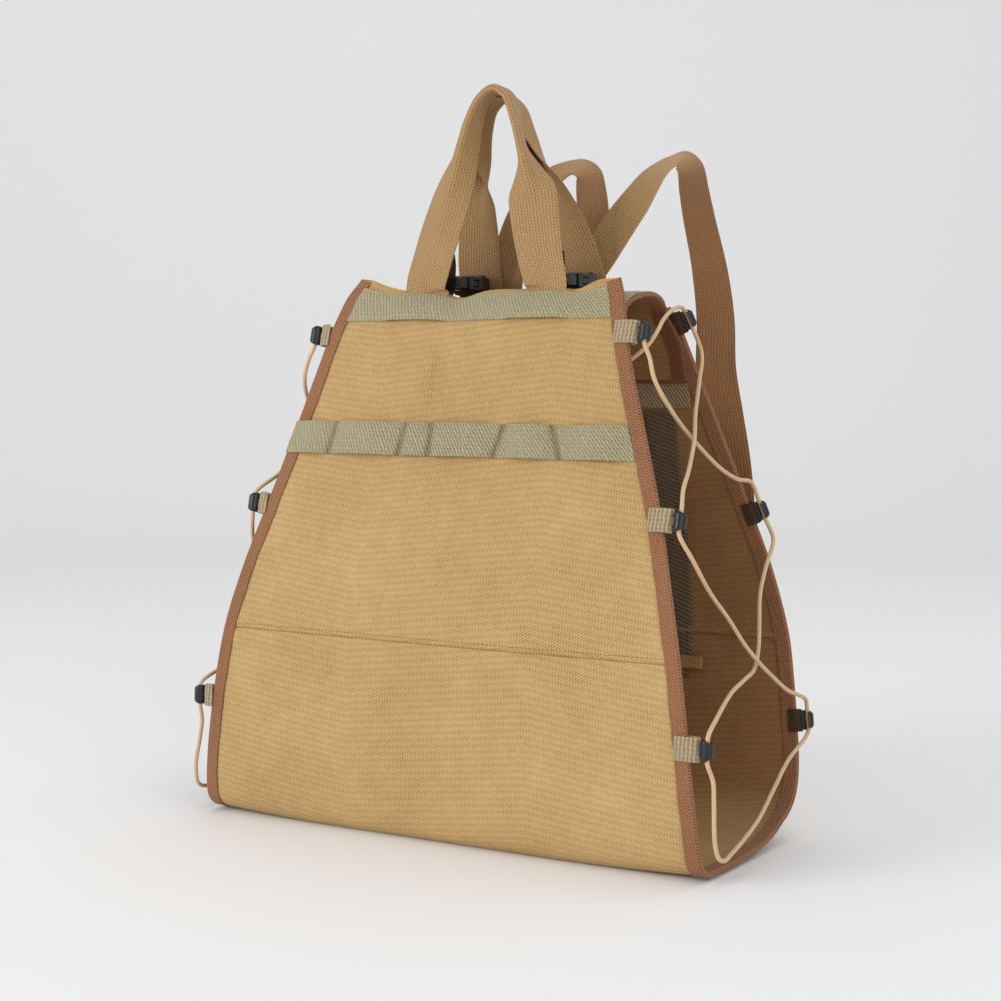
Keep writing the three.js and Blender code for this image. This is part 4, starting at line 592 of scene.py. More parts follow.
# The middle of the canvas at station s of the side profile and x across.
def bodyPoint(s, x):
    s, x = np.broadcast_arrays(np.asarray(s, float), np.asarray(x, float))
    halfWidth = canvasHalfWidth(s)
    across = x / halfWidth
    between = np.minimum(1, np.abs(x) / (halfWidth - tape["reach"]))
    pastRound = np.maximum(0, (s - backSeam - 5) / (lastRow - backSeam - 5))
    side = profileAt(s - body["cornerRound"] * pastRound ** 2 * across ** 8)
    curl = np.maximum(0, (np.abs(across) - 0.35) / 0.65) ** 2.2
    y = side[..., 0] * body["depth"]
    z = side[..., 1] * body["height"] + curveThrough(liftRows, s)[..., 1] * body["height"] * curl
    cornerUp = ease(0.6, 1.0, -across) * (1 - ease(0, 1.9, s))
    x = x + body["cornerIn"] * ease(0.75, 1.0, -across) * (1 - ease(0, 1.5, s)) ** 2
    y = y + body["cornerBack"] * cornerUp
    z = z + body["cornerUp"] * cornerUp
    edgeFade = (1 - between ** 6) ** 2
    for where, atX, atZ, inward, spreadX, spreadZ in dentRows:
        onSide = s <= 12 if where == "front" else s >= 16
        fromX = (across * halfWidth / body["halfWidth"] - atX) / spreadX
        fromZ = (side[..., 1] - atZ) / spreadZ
        push = inward * body["depth"] * np.exp(-fromX ** 2 - fromZ ** 2) * edgeFade * onSide
        y = y + push if where == "front" else y - push
    up = np.maximum(0, 1 - (1 - side[..., 1]) * body["height"] / body["curlHeight"]) * (s < frontSeam)
    y = y + body["curlDepth"] * up ** 2 * edgeFade
    z = z - body["curlDrop"] * up ** 2 * edgeFade
    for atX, drop, spread in topDips:
        z = z - drop * body["height"] * up * edgeFade * np.exp(-((across - atX) / (2 * spread)) ** 2)
    return np.stack([x, y, z], axis=-1)


def bodyNormal(s, x):
    low, high = np.clip(s - 0.02, 0, lastRow), np.clip(s + 0.02, 0, lastRow)
    alongRun = bodyPoint(high, x) - bodyPoint(low, x)
    acrossRun = bodyPoint(s, x + 1) - bodyPoint(s, x - 1)
    return -unit(np.cross(acrossRun, alongRun))


# Soft unevenness of the hanging cloth in millimetres along its normal: long slack waves plus a few
# creases, none at the taped edges and none where the base lies on the ground.
creaseRows = [  # side, x and z of both ends, width, height
    ("front", -28, 332, -27, 372, 5, -1.2),
    ("front", -36, 330, -40, 380, 7, 0.9),
    ("front", 62, 322, 75, 360, 12, 0.8),
    ("front", -150, 60, -60, 110, 16, 0.9),
    ("front", 40, 110, 150, 60, 18, -0.9),
    ("front", 150, 150, 175, 70, 12, 0.9),
    ("front", -120, 280, -90, 220, 14, 0.7),
    ("front", 90, 285, 120, 200, 14, -0.8),
    ("back", -60, 300, 40, 200, 20, 1.2),
    ("back", 100, 180, 150, 90, 16, -1.0),
]


def relief(s, x):
    point = bodyPoint(s, x)
    halfWidth = canvasHalfWidth(s)
    between = np.minimum(1, np.abs(x) / (halfWidth - tape["reach"] - 2))
    fade = (1 - between ** 8) * ease(3, 30, point[..., 2])
    side = np.where(s < 15, 0.0, 1.7)
    height = point[..., 2]
    wave = 0.55 * np.sin(x / 31 + height / 47 + side) * np.sin(height / 39 - x / 83 + 2 * side)
    wave = wave + 0.3 * np.sin(x / 13.7 - height / 29 + 3 * side) * np.sin(height / 19 + x / 41 + 1)
    wave = wave + 0.12 * np.sin(x / 5.3 + height / 17) * np.sin(height / 8.1 - x / 23)
    for where, x0, z0, x1, z1, width, lift in creaseRows:
        onSide = s < 12 if where == "front" else s > 18
        runX, runZ = x1 - x0, z1 - z0
        length = math.hypot(runX, runZ)
        share = ((x - x0) * runX + (height - z0) * runZ) / length ** 2
        off = ((x - x0) * runZ - (height - z0) * runX) / length
        wave = wave + lift * np.exp(-(off / width) ** 2 - (np.abs(share - 0.5) * 1.6) ** 4) * onSide
    return wave * fade


# A place on the canvas, away millimetres out from its middle.
def onCanvas(s, x, away=0.0):
    s, x = np.broadcast_arrays(np.asarray(s, float), np.asarray(x, float))
    normal = bodyNormal(s, x)
    return bodyPoint(s, x) + normal * (relief(s, x) + away)[..., None], normal


def stationAt(height, side):
    s = np.linspace(0, frontSeam + 3, 2000) if side == "front" else np.linspace(lastRow, backSeam - 3, 2000)
    z = profileAt(s)[:, 1] * body["height"]
    return float(np.interp(-height, -z, s))


def stationAbove(s, length, side):
    end = 0 if side == "front" else lastRow
    run = np.linspace(s, end, 1500)
    return float(np.interp(length, walked(bodyPoint(run, 0.0)), run))


seamShift = 0.003
seamAllowance = 0.07  # stations that the front and the back panel run on behind the base panel
panelParts = {
    "front": {"from": 0, "to": frontSeam + seamAllowance, "rows": 200, "columns": 190},
    "base": {"from": frontSeam + seamShift, "to": backSeam - seamShift, "rows": 190, "columns": 150},
    "back": {"from": backSeam - seamAllowance, "to": lastRow, "rows": 120, "columns": 140},
}
profileLength = walked(bodyPoint(np.linspace(0, lastRow, 1200), 0.0))


def addPanels():
    for name, part in panelParts.items():
        s = np.linspace(part["from"], part["to"], part["rows"])[:, None]
        share = np.linspace(-1, 1, part["columns"])[None, :]
        x = share * canvasHalfWidth(s)
        middle, normal = onCanvas(s, x)
        # the cloth swells a little beside the seam, and the allowance lies inside the base panel
        fromSeam = np.minimum(np.abs(s - frontSeam), np.abs(s - backSeam)) * 30
        nearSeam = 0.45 * np.exp(-((fromSeam - 4) / 3.2) ** 2) + 0 * x
        if name != "base":
            past = s - frontSeam if name == "front" else backSeam - s
            nearSeam = nearSeam - 1.9 * ease(-0.035, 0.012, past)
        middle = middle + normal * nearSeam[..., None]
        along = np.interp(s[:, 0], np.linspace(0, lastRow, 1200), profileLength)
        points, faces, uv = slab(middle, normal, body["canvas"], 0.3, along=along)
        u = np.concatenate([x, x[:, -1:], x[:, ::-1], x[:, :1]], axis=1).reshape(-1)
        uv[:, 0] = u + 400  # clear of the line where the twill would turn back
        ring = 2 * part["columns"] + 2
        inside = np.arange(len(points)) % ring > part["columns"]
        height = points[:, 2]
        # Painted shade: the inner faces are darkened, less so near the floor, and the outer faces a little
        # towards the top
        shade = np.where(inside, 0.45 + 0.55 * ease(2, 40, height), 0.15 * ease(150, 400, height))
        makeMesh(f"{name}_panel_cloth", points, faces, uv, canvasCloth, "canvas", (f"{name}_panel",), shade)


addPanels()
print("canvas panels made")


# Edge tape: a folded section carried along the canvas edge.
def tapeLine(half, reach, nose):
    leg = np.linspace(-reach, 0, 7)[:-1]
    turn = np.linspace(math.pi / 2, -math.pi / 2, 11)
    upper = np.stack([leg, np.full(6, half)], axis=1)
    bend = np.stack([nose * np.cos(turn), half * np.sin(turn)], axis=1)
    lower = np.stack([leg[::-1], np.full(6, -half)], axis=1)
    return np.concatenate([upper, bend, lower])


def tapeShape(edge, inner):
    alongRun = unit(np.gradient(edge, axis=0))
    out = squareTo(unit(edge - inner), alongRun)
    second = np.cross(alongRun, out)
    half = body["canvas"] / 2 + 0.2 + tape["thickness"] / 2
    line = tapeLine(half, tape["reach"] - 0.4, body["gap"] + tape["thickness"] / 2 + tape["nose"])
    lines = np.broadcast_to(line, (len(edge),) + line.shape).copy()
    run = walked(edge)[:, None]
    legs = np.abs(lines[..., 1]) > half - 0.01
    lines[..., 0] += legs * (0.25 * np.sin(run / 9.0) + 0.15 * np.sin(run / 3.7 + 1)) * (lines[..., 0] < -7)
    points, normal = carried(edge, out, second, lines)
    return slab(points, normal, tape["thickness"], 0.4), points, normal


tapeStitches = []


def addTapes():
    s = np.linspace(0, lastRow, 620)
    for sideName, sign in (("left", -1), ("right", 1)):
        edge = bodyPoint(s, sign * canvasHalfWidth(s))
        inner = bodyPoint(s, sign * (canvasHalfWidth(s) - tape["reach"]))
        shape, points, normal = tapeShape(edge, inner)
        makeMesh(f"side_tape_{sideName}", *shape, tapeCloth, "edge_tape", (f"edge_tape_{sideName}",))
        for column in (1, points.shape[1] - 2):
            outward = normal[:, column]
            tapeStitches.append((points[:, column] + outward * tape["thickness"] / 2, outward))


addTapes()

# The flap, from its front edge over the arch and down inside the back panel

flap = {"halfWidth": 126, "widening": 10, "hangingRow": 7, "gap": 7.4, "sag": 0.004, "inset": 0.13,
        "insetRows": 5}
flapRows = [  # depth and height as shares of the body's
    (0.326, 0.932), (0.345, 0.95), (0.387, 0.962), (0.453, 0.971), (0.537, 0.976), (0.61, 0.973),
    (0.66, 0.962)]
for hangHeight in (0.948, 0.92, 0.873, 0.829):
    hangStation = stationAt(hangHeight * body["height"], "back")
    inward = -bodyNormal(np.array(hangStation), np.array(0.0))
    hang = bodyPoint(hangStation, flap["halfWidth"] * 0.9) + inward * flap["gap"]
    flapRows.append((hang[1] / body["depth"], hang[2] / body["height"]))
flapCurve = np.array([(depth, height, 0) for depth, height in flapRows])
flapCanvasHalf = flap["halfWidth"] - tape["thickness"] - tape["nose"] - body["gap"]


def flapHalfAt(s):
    return flapCanvasHalf + flap["widening"] * ease(flap["hangingRow"], len(flapCurve) - 2, s)


def flapPoint(s, x):
    s, x = np.broadcast_arrays(np.asarray(s, float), np.asarray(x, float))
    side = curveThrough(flapCurve, s)
    between = np.minimum(1, np.abs(x) / (flapHalfAt(s) - tape["reach"]))
    onArch = np.maximum(0, 1 - s / flap["insetRows"])
    middle = (1 - between ** 4) ** 2
    y = (side[..., 0] + flap["inset"] * middle * onArch) * body["depth"]
    z = (side[..., 1] - flap["sag"] * middle * onArch) * body["height"]
    return np.stack([x, y, z], axis=-1)


def flapNormal(s, x):
    alongRun = flapPoint(s + 0.02, x) - flapPoint(s - 0.02, x)
    acrossRun = flapPoint(s, x + 1) - flapPoint(s, x - 1)
    return unit(np.cross(acrossRun, alongRun))


def addFlap():
    last, columns = len(flapCurve) - 1, 120
    s = np.linspace(0, last, 110)[:, None]
    x = np.linspace(-1, 1, columns)[None, :] * flapHalfAt(s)
    middle, normal = flapPoint(s, x), flapNormal(s, x)
    shape = slab(middle, normal, body["canvas"], 0.3)
    # Painted shade on the flap's inner face
    normalUp = normal[30, columns // 2, 2] > 0
    inside = (np.arange(len(shape[0])) % (2 * columns + 2) > columns) == normalUp
    makeMesh("flap_cloth", *shape, canvasCloth, "canvas", ("top_flap",), inside)
    run = np.linspace(0, last, 150)
    for sideName, sign in (("left", -1), ("right", 1)):
        edge = flapPoint(run, sign * flapHalfAt(run))
        inner = flapPoint(run, sign * (flapHalfAt(run) - tape["reach"]))
        shape, points, normal = tapeShape(edge, inner)
        # Painted shade on the tape where the flap hangs down inside the back panel
        shade = np.repeat(ease(5.6, 7.0, run), 2 * points.shape[1] + 2)
        makeMesh(f"flap_edge_{sideName}", *shape, tapeCloth, "edge_tape", (f"flap_tape_{sideName}",), shade)


addFlap()
print("tapes and flap made")

# Sage bands on the front panel. A band's grid runs along x, with a few rows up its height.

band = {"height": 25, "thickness": 1.3, "topLow": 395, "midLow": 291, "innerLow": 328, "innerHeight": 19}
handle = {"width": 38, "thickness": 1.6, "rise": 155, "spacing": 109, "spine": 5.0, "sewnLeg": 28,
          "foldAngle": 95, "columns": 33, "clear": 0.45}
bandStitches = []


def sewnBand(name, node, low, high, x, away, face, material, rows=13, shade=None):
    thickness = band["thickness"]
    s = np.linspace(low, high, rows)[None, :]
    xGrid = x(s) if callable(x) else np.broadcast_to(x[:, None], (len(x), rows))
    surface, normal = onCanvas(s, xGrid)
    lift = body["canvas"] / 2 + 0.15 + thickness / 2 + away(xGrid)
    middle = surface + normal * face * lift[..., None]
    normal = normal * face
    shape = slab(middle, normal, thickness, 0.7)
    if shade is not None:
        shade = np.concatenate([shade, shade[:, -1:], shade[:, ::-1], shade[:, :1]], axis=1).ravel()
    makeMesh(name, *shape, material, "sage_webbing", (node,), shade)
    return middle, normal


topBandStation = stationAt(band["topLow"], "front")
topBandTop = stationAbove(topBandStation, band["height"], "front")


def addTopBand():
    share = np.linspace(-1, 1, 340)[:, None]
    x = lambda s: share * (canvasHalfWidth(s) - tape["reach"] - 0.3)

    def away(x):
        lift = 0
        for middle in (-handle["spacing"] / 2, handle["spacing"] / 2):  # over the handle's two legs
            beside = np.abs(x - middle) - handle["width"] / 2 - 0.8
            lift = np.maximum(lift, (handle["thickness"] + handle["clear"]) * (1 - ease(0, 13, beside)))
        return lift

    middle, normal = sewnBand("upper_band", "top_band", topBandStation, topBandTop, x, away, 1, sageCloth)
    for row in (1, -2):
        bandStitches.append((middle[:, row] + normal[:, row] * band["thickness"] / 2, normal[:, row]))


loopRows = [  # start and end as shares of the band's length from the left, rise as a share of its height
    (0.03, 0.13, 0.14), (0.135, 0.345, 0.17), (0.35, 0.43, 0.1), (0.435, 0.615, 0.16), (0.655, 0.775, 0.17),
    (0.815, 0.985, 0.12)]
# Places of the painted shadow in the valleys between the loops
shadowedValleyRows = [(0.132, 0.0), (0.347, 0.01), (0.4325, 0.0), (0.635, 0.03), (0.795, -0.01)]  # share, lean
tackPlaces = (0.012, 0.132, 0.347, 0.4325, 0.635, 0.795, 0.99)  # shares of the band's length
barTacks = []


def addMidBand():
    low = stationAt(band["midLow"], "front")
    high = stationAbove(low, band["height"], "front")
    share = np.linspace(0, 1, 460)[:, None]
    leftAt = lambda s: -canvasHalfWidth(s) - tape["thickness"]
    rightAt = lambda s: canvasHalfWidth(s) - tape["reach"] - 0.3
    lowS = np.array(low)
    lengthLow = float(rightAt(lowS) - leftAt(lowS))

    def away(x):
        place = (x - float(leftAt(lowS))) / lengthLow
        offset = np.full(x.shape, 0.15)
        for start, end, rise in loopRows:
            part = np.clip((place - start) / (end - start), 0, 1)
            offset = offset + rise * band["height"] * np.sin(math.pi * part) ** 0.75
        pastTape = np.maximum(0, x - float(leftAt(lowS)) - tape["reach"] - 3)
        overTape = 1.5 * np.sqrt(np.maximum(0, 1 - pastTape / tape["reach"]))
        return np.maximum(offset, overTape)

    gridAt = lambda s: leftAt(s) + share * (rightAt(s) - leftAt(s))
    up = np.linspace(-0.5, 0.5, 15)[None, :]
    # Painted shadow: the band's colour darkens in narrow strips at the valleys where it is tacked down
    paintedValleyShadow = sum(np.exp(-((share - at - lean * up) / 0.009) ** 2) for at, lean in shadowedValleyRows)
    middle, normal = sewnBand("loop_band", "mid_band", low, high, gridAt, away, 1, sageCloth, rows=15,
                              shade=np.clip(paintedValleyShadow, 0, 1))
    for tack in tackPlaces:
        column = int(round(tack * (len(share) - 1)))
        line = middle[column] + normal[column] * band["thickness"] / 2
        barTacks.append((line, normal[column]))


addTopBand()
addMidBand()

# Webbing inside the back panel: a band across it, and below it two straps with a keeper tab each

innerStrap = {"place": 107.5, "half": 13.5, "low": 112, "top": 324.4, "clear": 0.25}
keeper = {"place": 112.5, "half": 19, "low": 119, "height": 10, "clear": 0.6, "shade": 0.65}
keeperStitches = []


def insideSlab(part, low, top, rows, columns, sign, layers):
    x = sign * (part["place"] + np.linspace(-part["half"], part["half"], columns))
    surface, normal = onCanvas(np.linspace(low, top, rows)[:, None], x[None, :])
    middle = surface - normal * (body["canvas"] / 2 + part["clear"] + layers * band["thickness"])
    return middle, -normal, slab(middle, -normal, band["thickness"], 0.7)


def addInnerStraps():
    low = stationAt(band["innerLow"], "back")
    high = stationAbove(low, band["innerHeight"], "back")
    half = float(canvasHalfWidth(np.array(high))) - tape["reach"] - 0.3
    x = np.linspace(-half, half, 120)
    sewnBand("inside_band", "inner_band", low, high, x, lambda x: 0 * x, -1, shadedTanCloth)
    strapLow, strapTop = stationAt(innerStrap["low"], "back"), stationAt(innerStrap["top"], "back")
    tabLow = stationAt(keeper["low"], "back")
    tabTop = stationAbove(tabLow, keeper["height"], "back")
    for sideName, sign in (("left", -1), ("right", 1)):
        shape = insideSlab(innerStrap, strapLow, strapTop, 90, 9, sign, 0.5)[2]
        makeMesh(f"inside_strap_{sideName}", *shape, shadedOliveCloth, "sage_webbing",
                 (f"inner_strap_{sideName}",))
        middle, normal, shape = insideSlab(keeper, tabLow, tabTop, 9, 15, sign, 1.5)
        # The keeper tab takes the canvas finish, darkened by painted shade
        makeMesh(f"inside_keeper_{sideName}", *shape, canvasCloth, "tan_webbing",
                 (f"inner_strap_tab_{sideName}",), np.full(len(shape[0]), keeper["shade"]))
        for place in ((1, slice(None)), (-2, slice(None)), (slice(None), 1), (slice(None), -2)):
            keeperStitches.append((middle[place] + normal[place] * band["thickness"] / 2, normal[place]))


addInnerStraps()
print("bands made")

# Handles: webbing folded lengthwise at the grip. across is a share of half the spacing, depth of
# bodyDepth, rise of the handle's rise above the front panel, fold 0 is flat and 1 folded, turn in degrees.

frontHandleRows = np.array([
    (-1.0, 0.357, -0.01, 0.02, -6), (-0.92, 0.362, 0.11, 0.09, -6), (-0.8, 0.375, 0.27, 0.18, -4),
    (-0.68, 0.395, 0.43, 0.32, 0), (-0.58, 0.405, 0.55, 0.48, 0), (-0.47, 0.42, 0.69, 0.7, 0),
    (-0.36, 0.43, 0.81, 0.88, 0), (-0.19, 0.44, 0.92, 1, 0), (0.03, 0.443, 0.965, 1, 0),
    (0.22, 0.44, 0.925, 1, 4), (0.36, 0.43, 0.82, 1, 10), (0.47, 0.42, 0.69, 1, 16),
    (0.6, 0.405, 0.54, 0.6, 18), (0.71, 0.39, 0.42, 0.12, 16), (0.8, 0.375, 0.27, 0.03, 8),
    (0.9, 0.362, 0.12, 0.02, 0), (1.0, 0.357, -0.01, 0, -6)])
backHandleRows = np.array([
    (-0.85, 0.724, -0.02, 0, 2), (-0.84, 0.7, 0.1, 0.02, 2), (-0.79, 0.675, 0.3, 0.05, -4),
    (-0.73, 0.653, 0.43, 0.15, -12), (-0.67, 0.632, 0.55, 0.5, -20), (-0.62, 0.612, 0.66, 0.95, -24),
    (-0.54, 0.59, 0.78, 1, -18), (-0.38, 0.57, 0.89, 1, -8), (-0.1, 0.556, 0.94, 1, 0),
    (0.12, 0.56, 0.89, 1, 0), (0.26, 0.57, 0.77, 1, 0), (0.36, 0.59, 0.64, 0.8, 0),
    (0.45, 0.615, 0.52, 0.45, 0), (0.57, 0.64, 0.39, 0.15, 0), (0.71, 0.665, 0.27, 0.04, 0),
    (0.86, 0.69, 0.12, 0, 0), (0.92, 0.727, -0.02, 0, 0)])


# The section's line for each station: it bends by the fold's angle inside the spine and is straight in
# both wings. place is the run across the flat webbing.
def foldedLine(fold, place):
    most = np.radians(handle["foldAngle"]) * fold[:, None]
    angle = most * np.sin(np.clip(place / handle["spine"], -1, 1) * math.pi / 2)
    step = place[1] - place[0]
    out = np.stack([np.sin(angle), np.cos(angle)], axis=-1)
    middle = (out[:, 1:] + out[:, :-1]) / 2 * step
    line = np.concatenate([np.zeros((len(fold), 1, 2)), np.cumsum(middle, axis=1)], axis=1)
    line = line - line[:, len(place) // 2:len(place) // 2 + 1]
    line[..., 0] -= 0.5 * np.max(line[..., 0], axis=1, keepdims=True)
    return line


handleStitches = []


# The last two numbers are painted shade: over the whole handle, and on the faces inside the fold
def addHandle(name, node, rows, opening, sewnLow, sewnHigh, overallShade, foldShade):
    spread = handle["spacing"] / 2
    sewnOut = body["canvas"] / 2 + handle["clear"] + handle["thickness"] / 2
    ends = []
    for row in (rows[0], rows[-1]):
        surface, normal = onCanvas(np.linspace(sewnLow, sewnHigh, 5), row[0] * spread)
        ends.append((surface + normal * sewnOut, -normal))
    rise = body["height"] + rows[:, 2] * handle["rise"]
    free = np.stack([rows[:, 0] * spread, rows[:, 1] * body["depth"], rise], axis=1)
    turn = np.radians(rows[:, 4])
    into = np.stack([-np.sin(turn), np.cos(turn), 0 * turn], axis=1) * opening
    points = np.concatenate([ends[0][0], free, ends[1][0][::-1]])
    intos = np.concatenate([ends[0][1], into, ends[1][1][::-1]])
    fold = np.concatenate([np.zeros(5), rows[:, 3], np.zeros(5)])
    places = np.linspace(0, len(points) - 1, 2200)
    path = curveThrough(points, places)
    keys = np.concatenate([intos, fold[:, None]], axis=1)
    keyed = curveThrough(keys, places)
    length = walked(path)
    at = np.linspace(0, length[-1], 320)
    origin, extra = readOff(at, length, path), readOff(at, length, keyed)
    alongRun = unit(np.gradient(origin, axis=0))
    first = squareTo(extra[:, :3], alongRun)
    second = np.cross(first, alongRun)
    across = np.linspace(-handle["width"] / 2, handle["width"] / 2, handle["columns"])
    line = foldedLine(np.clip(extra[:, 3], 0, 1), across)
    middle, normal = carried(origin, first, second, line)
    shape = slab(middle, normal, handle["thickness"], 0.8, across, at)
    ring = np.arange(2 * len(across) + 2)
    shade = overallShade + (foldShade - overallShade) * (ring > handle["columns"]) * ease(0.15, 0.9, extra[:, 3])[:, None]
    makeMesh(name, *shape, tanCloth, "tan_webbing", (node,), shade.ravel())
    for column in (2, -3):
        for face in (1, -1):
            outward = face * normal[:, column]
            handleStitches.append((middle[:, column] + outward * handle["thickness"] / 2, outward))


addHandle("grip_front", "front_handle", frontHandleRows, 1, stationAt(band["topLow"] + 2, "front"),
          topBandTop, 0.05, 0.3)
backTop = sideRows[lastRow][1] * body["height"]
addHandle("grip_back", "back_handle", backHandleRows, -1, stationAt(backTop - handle["sewnLeg"], "back"),
          lastRow - 0.2, 0.12, 1.0)
print("handles made")

# Shoulder straps. across is a share of reach, depth of bodyDepth, rise of the straps' rise above the back
# panel's top edge, drop of bodyHeight below it; the last three numbers point across the webbing.

shoulder = {"width": 32, "thickness": 1.6, "rise": 113, "reach": 150, "endLow": 152, "endLength": 20,
            "clear": 0.8, "overHandle": 1.2}
rightShoulderRows = np.array([
    (0.2, 0.752, 0.06, 0, 0.85, 0, -0.52), (0.29, 0.755, 0.19, 0, 0.8, -0.05, -0.6),
    (0.39, 0.763, 0.35, 0, 0.78, -0.12, -0.62), (0.48, 0.776, 0.52, 0, 0.74, -0.2, -0.64),
    (0.573, 0.795, 0.69, 0, 0.66, -0.34, -0.66), (0.653, 0.821, 0.85, 0, 0.48, -0.58, -0.66),
    (0.733, 0.842, 0.95, 0, 0.2, -0.82, -0.54), (0.8, 0.86, 0.985, 0, 0, -0.92, -0.4),
    (0.843, 0.874, 0.93, 0, -0.18, -0.95, -0.25), (0.86, 0.889, 0.77, 0, -0.3, -0.95, -0.05),
    (0.88, 0.903, 0.59, 0, -0.38, -0.92, 0), (0.933, 0.921, 0.23, 0, -0.5, -0.86, 0),
    (0.953, 0.947, 0, 0.031, -0.6, -0.8, 0), (0.945, 0.968, 0, 0.123, -0.7, -0.7, 0),
    (0.97, 0.995, 0, 0.215, -0.85, -0.52, 0), (0.995, 1.032, 0, 0.307, -0.97, -0.25, 0),
    (1.01, 1.055, 0, 0.4, -1, -0.1, 0), (1, 1.062, 0, 0.48, -1, 0, 0.1), (1, 1.05, 0, 0.545, -1, 0, 0.05)])
leftShoulderRows = np.array([
    (-0.2, 0.763, 0.03, 0, 0.99, 0, -0.1), (-0.18, 0.752, 0.19, 0, 0.97, 0, -0.2),
    (-0.15, 0.768, 0.43, 0, 0.97, -0.1, -0.2), (-0.093, 0.789, 0.66, 0, 0.9, -0.25, -0.35),
    (-0.007, 0.805, 0.83, 0, 0.75, -0.45, -0.48), (0.1, 0.821, 0.93, 0, 0.45, -0.7, -0.55),
    (0.2, 0.842, 0.975, 0, 0.1, -0.9, -0.42), (0.25, 0.86, 0.93, 0, -0.15, -0.95, -0.25),
    (0.262, 0.874, 0.8, 0, -0.3, -0.95, 0), (0.262, 0.889, 0.59, 0, -0.4, -0.92, 0),
    (0.235, 0.905, 0.39, 0, -0.5, -0.86, 0), (0.185, 0.926, 0.17, 0, -0.65, -0.75, 0.1),
    (0.133, 0.958, 0, 0.021, -0.85, -0.5, 0.2), (0, 1, 0, 0.092, -0.93, -0.25, 0.25),
    (-0.2, 1.042, 0, 0.175, -0.85, -0.05, 0.5), (-0.433, 1.068, 0, 0.257, -0.75, 0, 0.65),
    (-0.667, 1.084, 0, 0.347, -0.72, 0, 0.69), (-0.867, 1.084, 0, 0.441, -0.8, 0, 0.6),
    (-0.98, 1.06, 0, 0.53, -0.95, 0, 0.2)])
shoulderStitches = []


def addShoulderStrap(sideName, rows, topAcross, endSide, behindShade):
    low = stationAt(backTop - handle["sewnLeg"], "back")
    s = np.linspace(low, lastRow - 0.2, 4)
    surface, normal = onCanvas(s, np.interp(s, [low, lastRow], topAcross) * shoulder["reach"])
    lift = body["canvas"] / 2 + shoulder["clear"] + shoulder["thickness"] / 2
    upper = surface + normal * (lift + handle["thickness"] + shoulder["overHandle"])
    wideTop = rows[0, 4:7]
    upperWide = wideTop - normal * (normal @ wideTop)[:, None]
    free = np.stack([
        rows[:, 0] * shoulder["reach"], rows[:, 1] * body["depth"],
        backTop + rows[:, 2] * shoulder["rise"] - rows[:, 3] * body["height"]], axis=1)
    ends = [stationAt(shoulder["endLow"] + above, "back") for above in (shoulder["endLength"], 0)]
    surface, normal = onCanvas(np.linspace(*ends, 4), endSide * shoulder["reach"])
    lower = surface + normal * lift
    path = np.concatenate([upper, free, lower])
    wide = np.concatenate([upperWide, rows[:, 4:7], np.broadcast_to([-1.0, 0, 0], (4, 3))])
    middle, normal, across, at = webbingGrid(path, wide, shoulder["width"], 520, 15)
    shape = slab(middle, normal, shoulder["thickness"], 0.8, across, at)
    # Painted shade on the part that hangs down behind the strap's highest point
    highest = at[np.argmax(middle[:, 7, 2])]
    shade = behindShade * ease(highest - 4, highest + 22, at)
    makeMesh(f"back_strap_{sideName}", *shape, tanCloth, "tan_webbing", (f"shoulder_strap_{sideName}",),
             np.repeat(shade, 2 * len(across) + 2))
    for rowsAt in (slice(4, 34), slice(-30, -6)):
        for column in (1, -2):
            for face in (1, -1):
                outward = face * normal[rowsAt, column]
                line = middle[rowsAt, column] + outward * shoulder["thickness"] / 2
                shoulderStitches.append((line, outward))


addShoulderStrap("right", rightShoulderRows, (0.08, 0.18), 1, 1.0)
addShoulderStrap("left", leftShoulderRows, (-0.22, -0.205), -1, 0.6)
print("shoulder straps made")

# Lacing tabs and hooks on the side edges. In their own axes the first points out of the canvas edge, the
# second squarely away from the canvas and the third along the edge.

lacing = {"tabHeight": 16.5, "reachInside": 4, "tabThickness": 1.2, "wall": 2.2, "hookHeight": 13.5,
          "neckWidth": 7, "eye": 2.4, "curlFrom": 205, "curlTo": -60}
# left and right say how far a tab's outer leg reaches over the tape; the left front ones come from behind it
lacingSides = {
    "front": {"reachOut": 9, "slack": 3.2, "neckGap": 1.2, "left": -1.2, "right": 8},
    "back": {"reachOut": 4.6, "slack": 0.7, "neckGap": 0.3, "left": 10, "right": 10}}
lacingRows = {"top": {"front": 0.906, "back": 0.927}, "middle": {"front": 0.59, "back": 0.58},
              "low": {"front": 0.224, "back": 0.203}}
tapeOutside = body["canvas"] / 2 + body["gap"] + tape["thickness"]
tabStitches = []


def inAxes(axes, local):
    return axes[0] + local @ np.stack(axes[1:])


# Cloth or plastic bent along a line in the first two axes and as tall as height[j] along the third at each
# place.
def bentShape(axes, line, height, rows):
    up = np.linspace(-0.5, 0.5, rows)[:, None] * np.broadcast_to(height, len(line))[None, :]
    grid = np.concatenate([np.broadcast_to(line, (rows,) + line.shape), up[..., None]], axis=-1)
    run = unit(np.gradient(line, axis=0))
    normal = np.stack([-run[:, 1], run[:, 0], 0 * run[:, 0]], axis=-1)
    middle = inAxes(axes, grid.reshape(-1, 3)).reshape(grid.shape)
    outward = np.broadcast_to(normal @ np.stack(axes[1:]), middle.shape)
    # the grid is turned, so that its rounded edges are the two long ones
    return middle.transpose(1, 0, 2), outward.transpose(1, 0, 2)


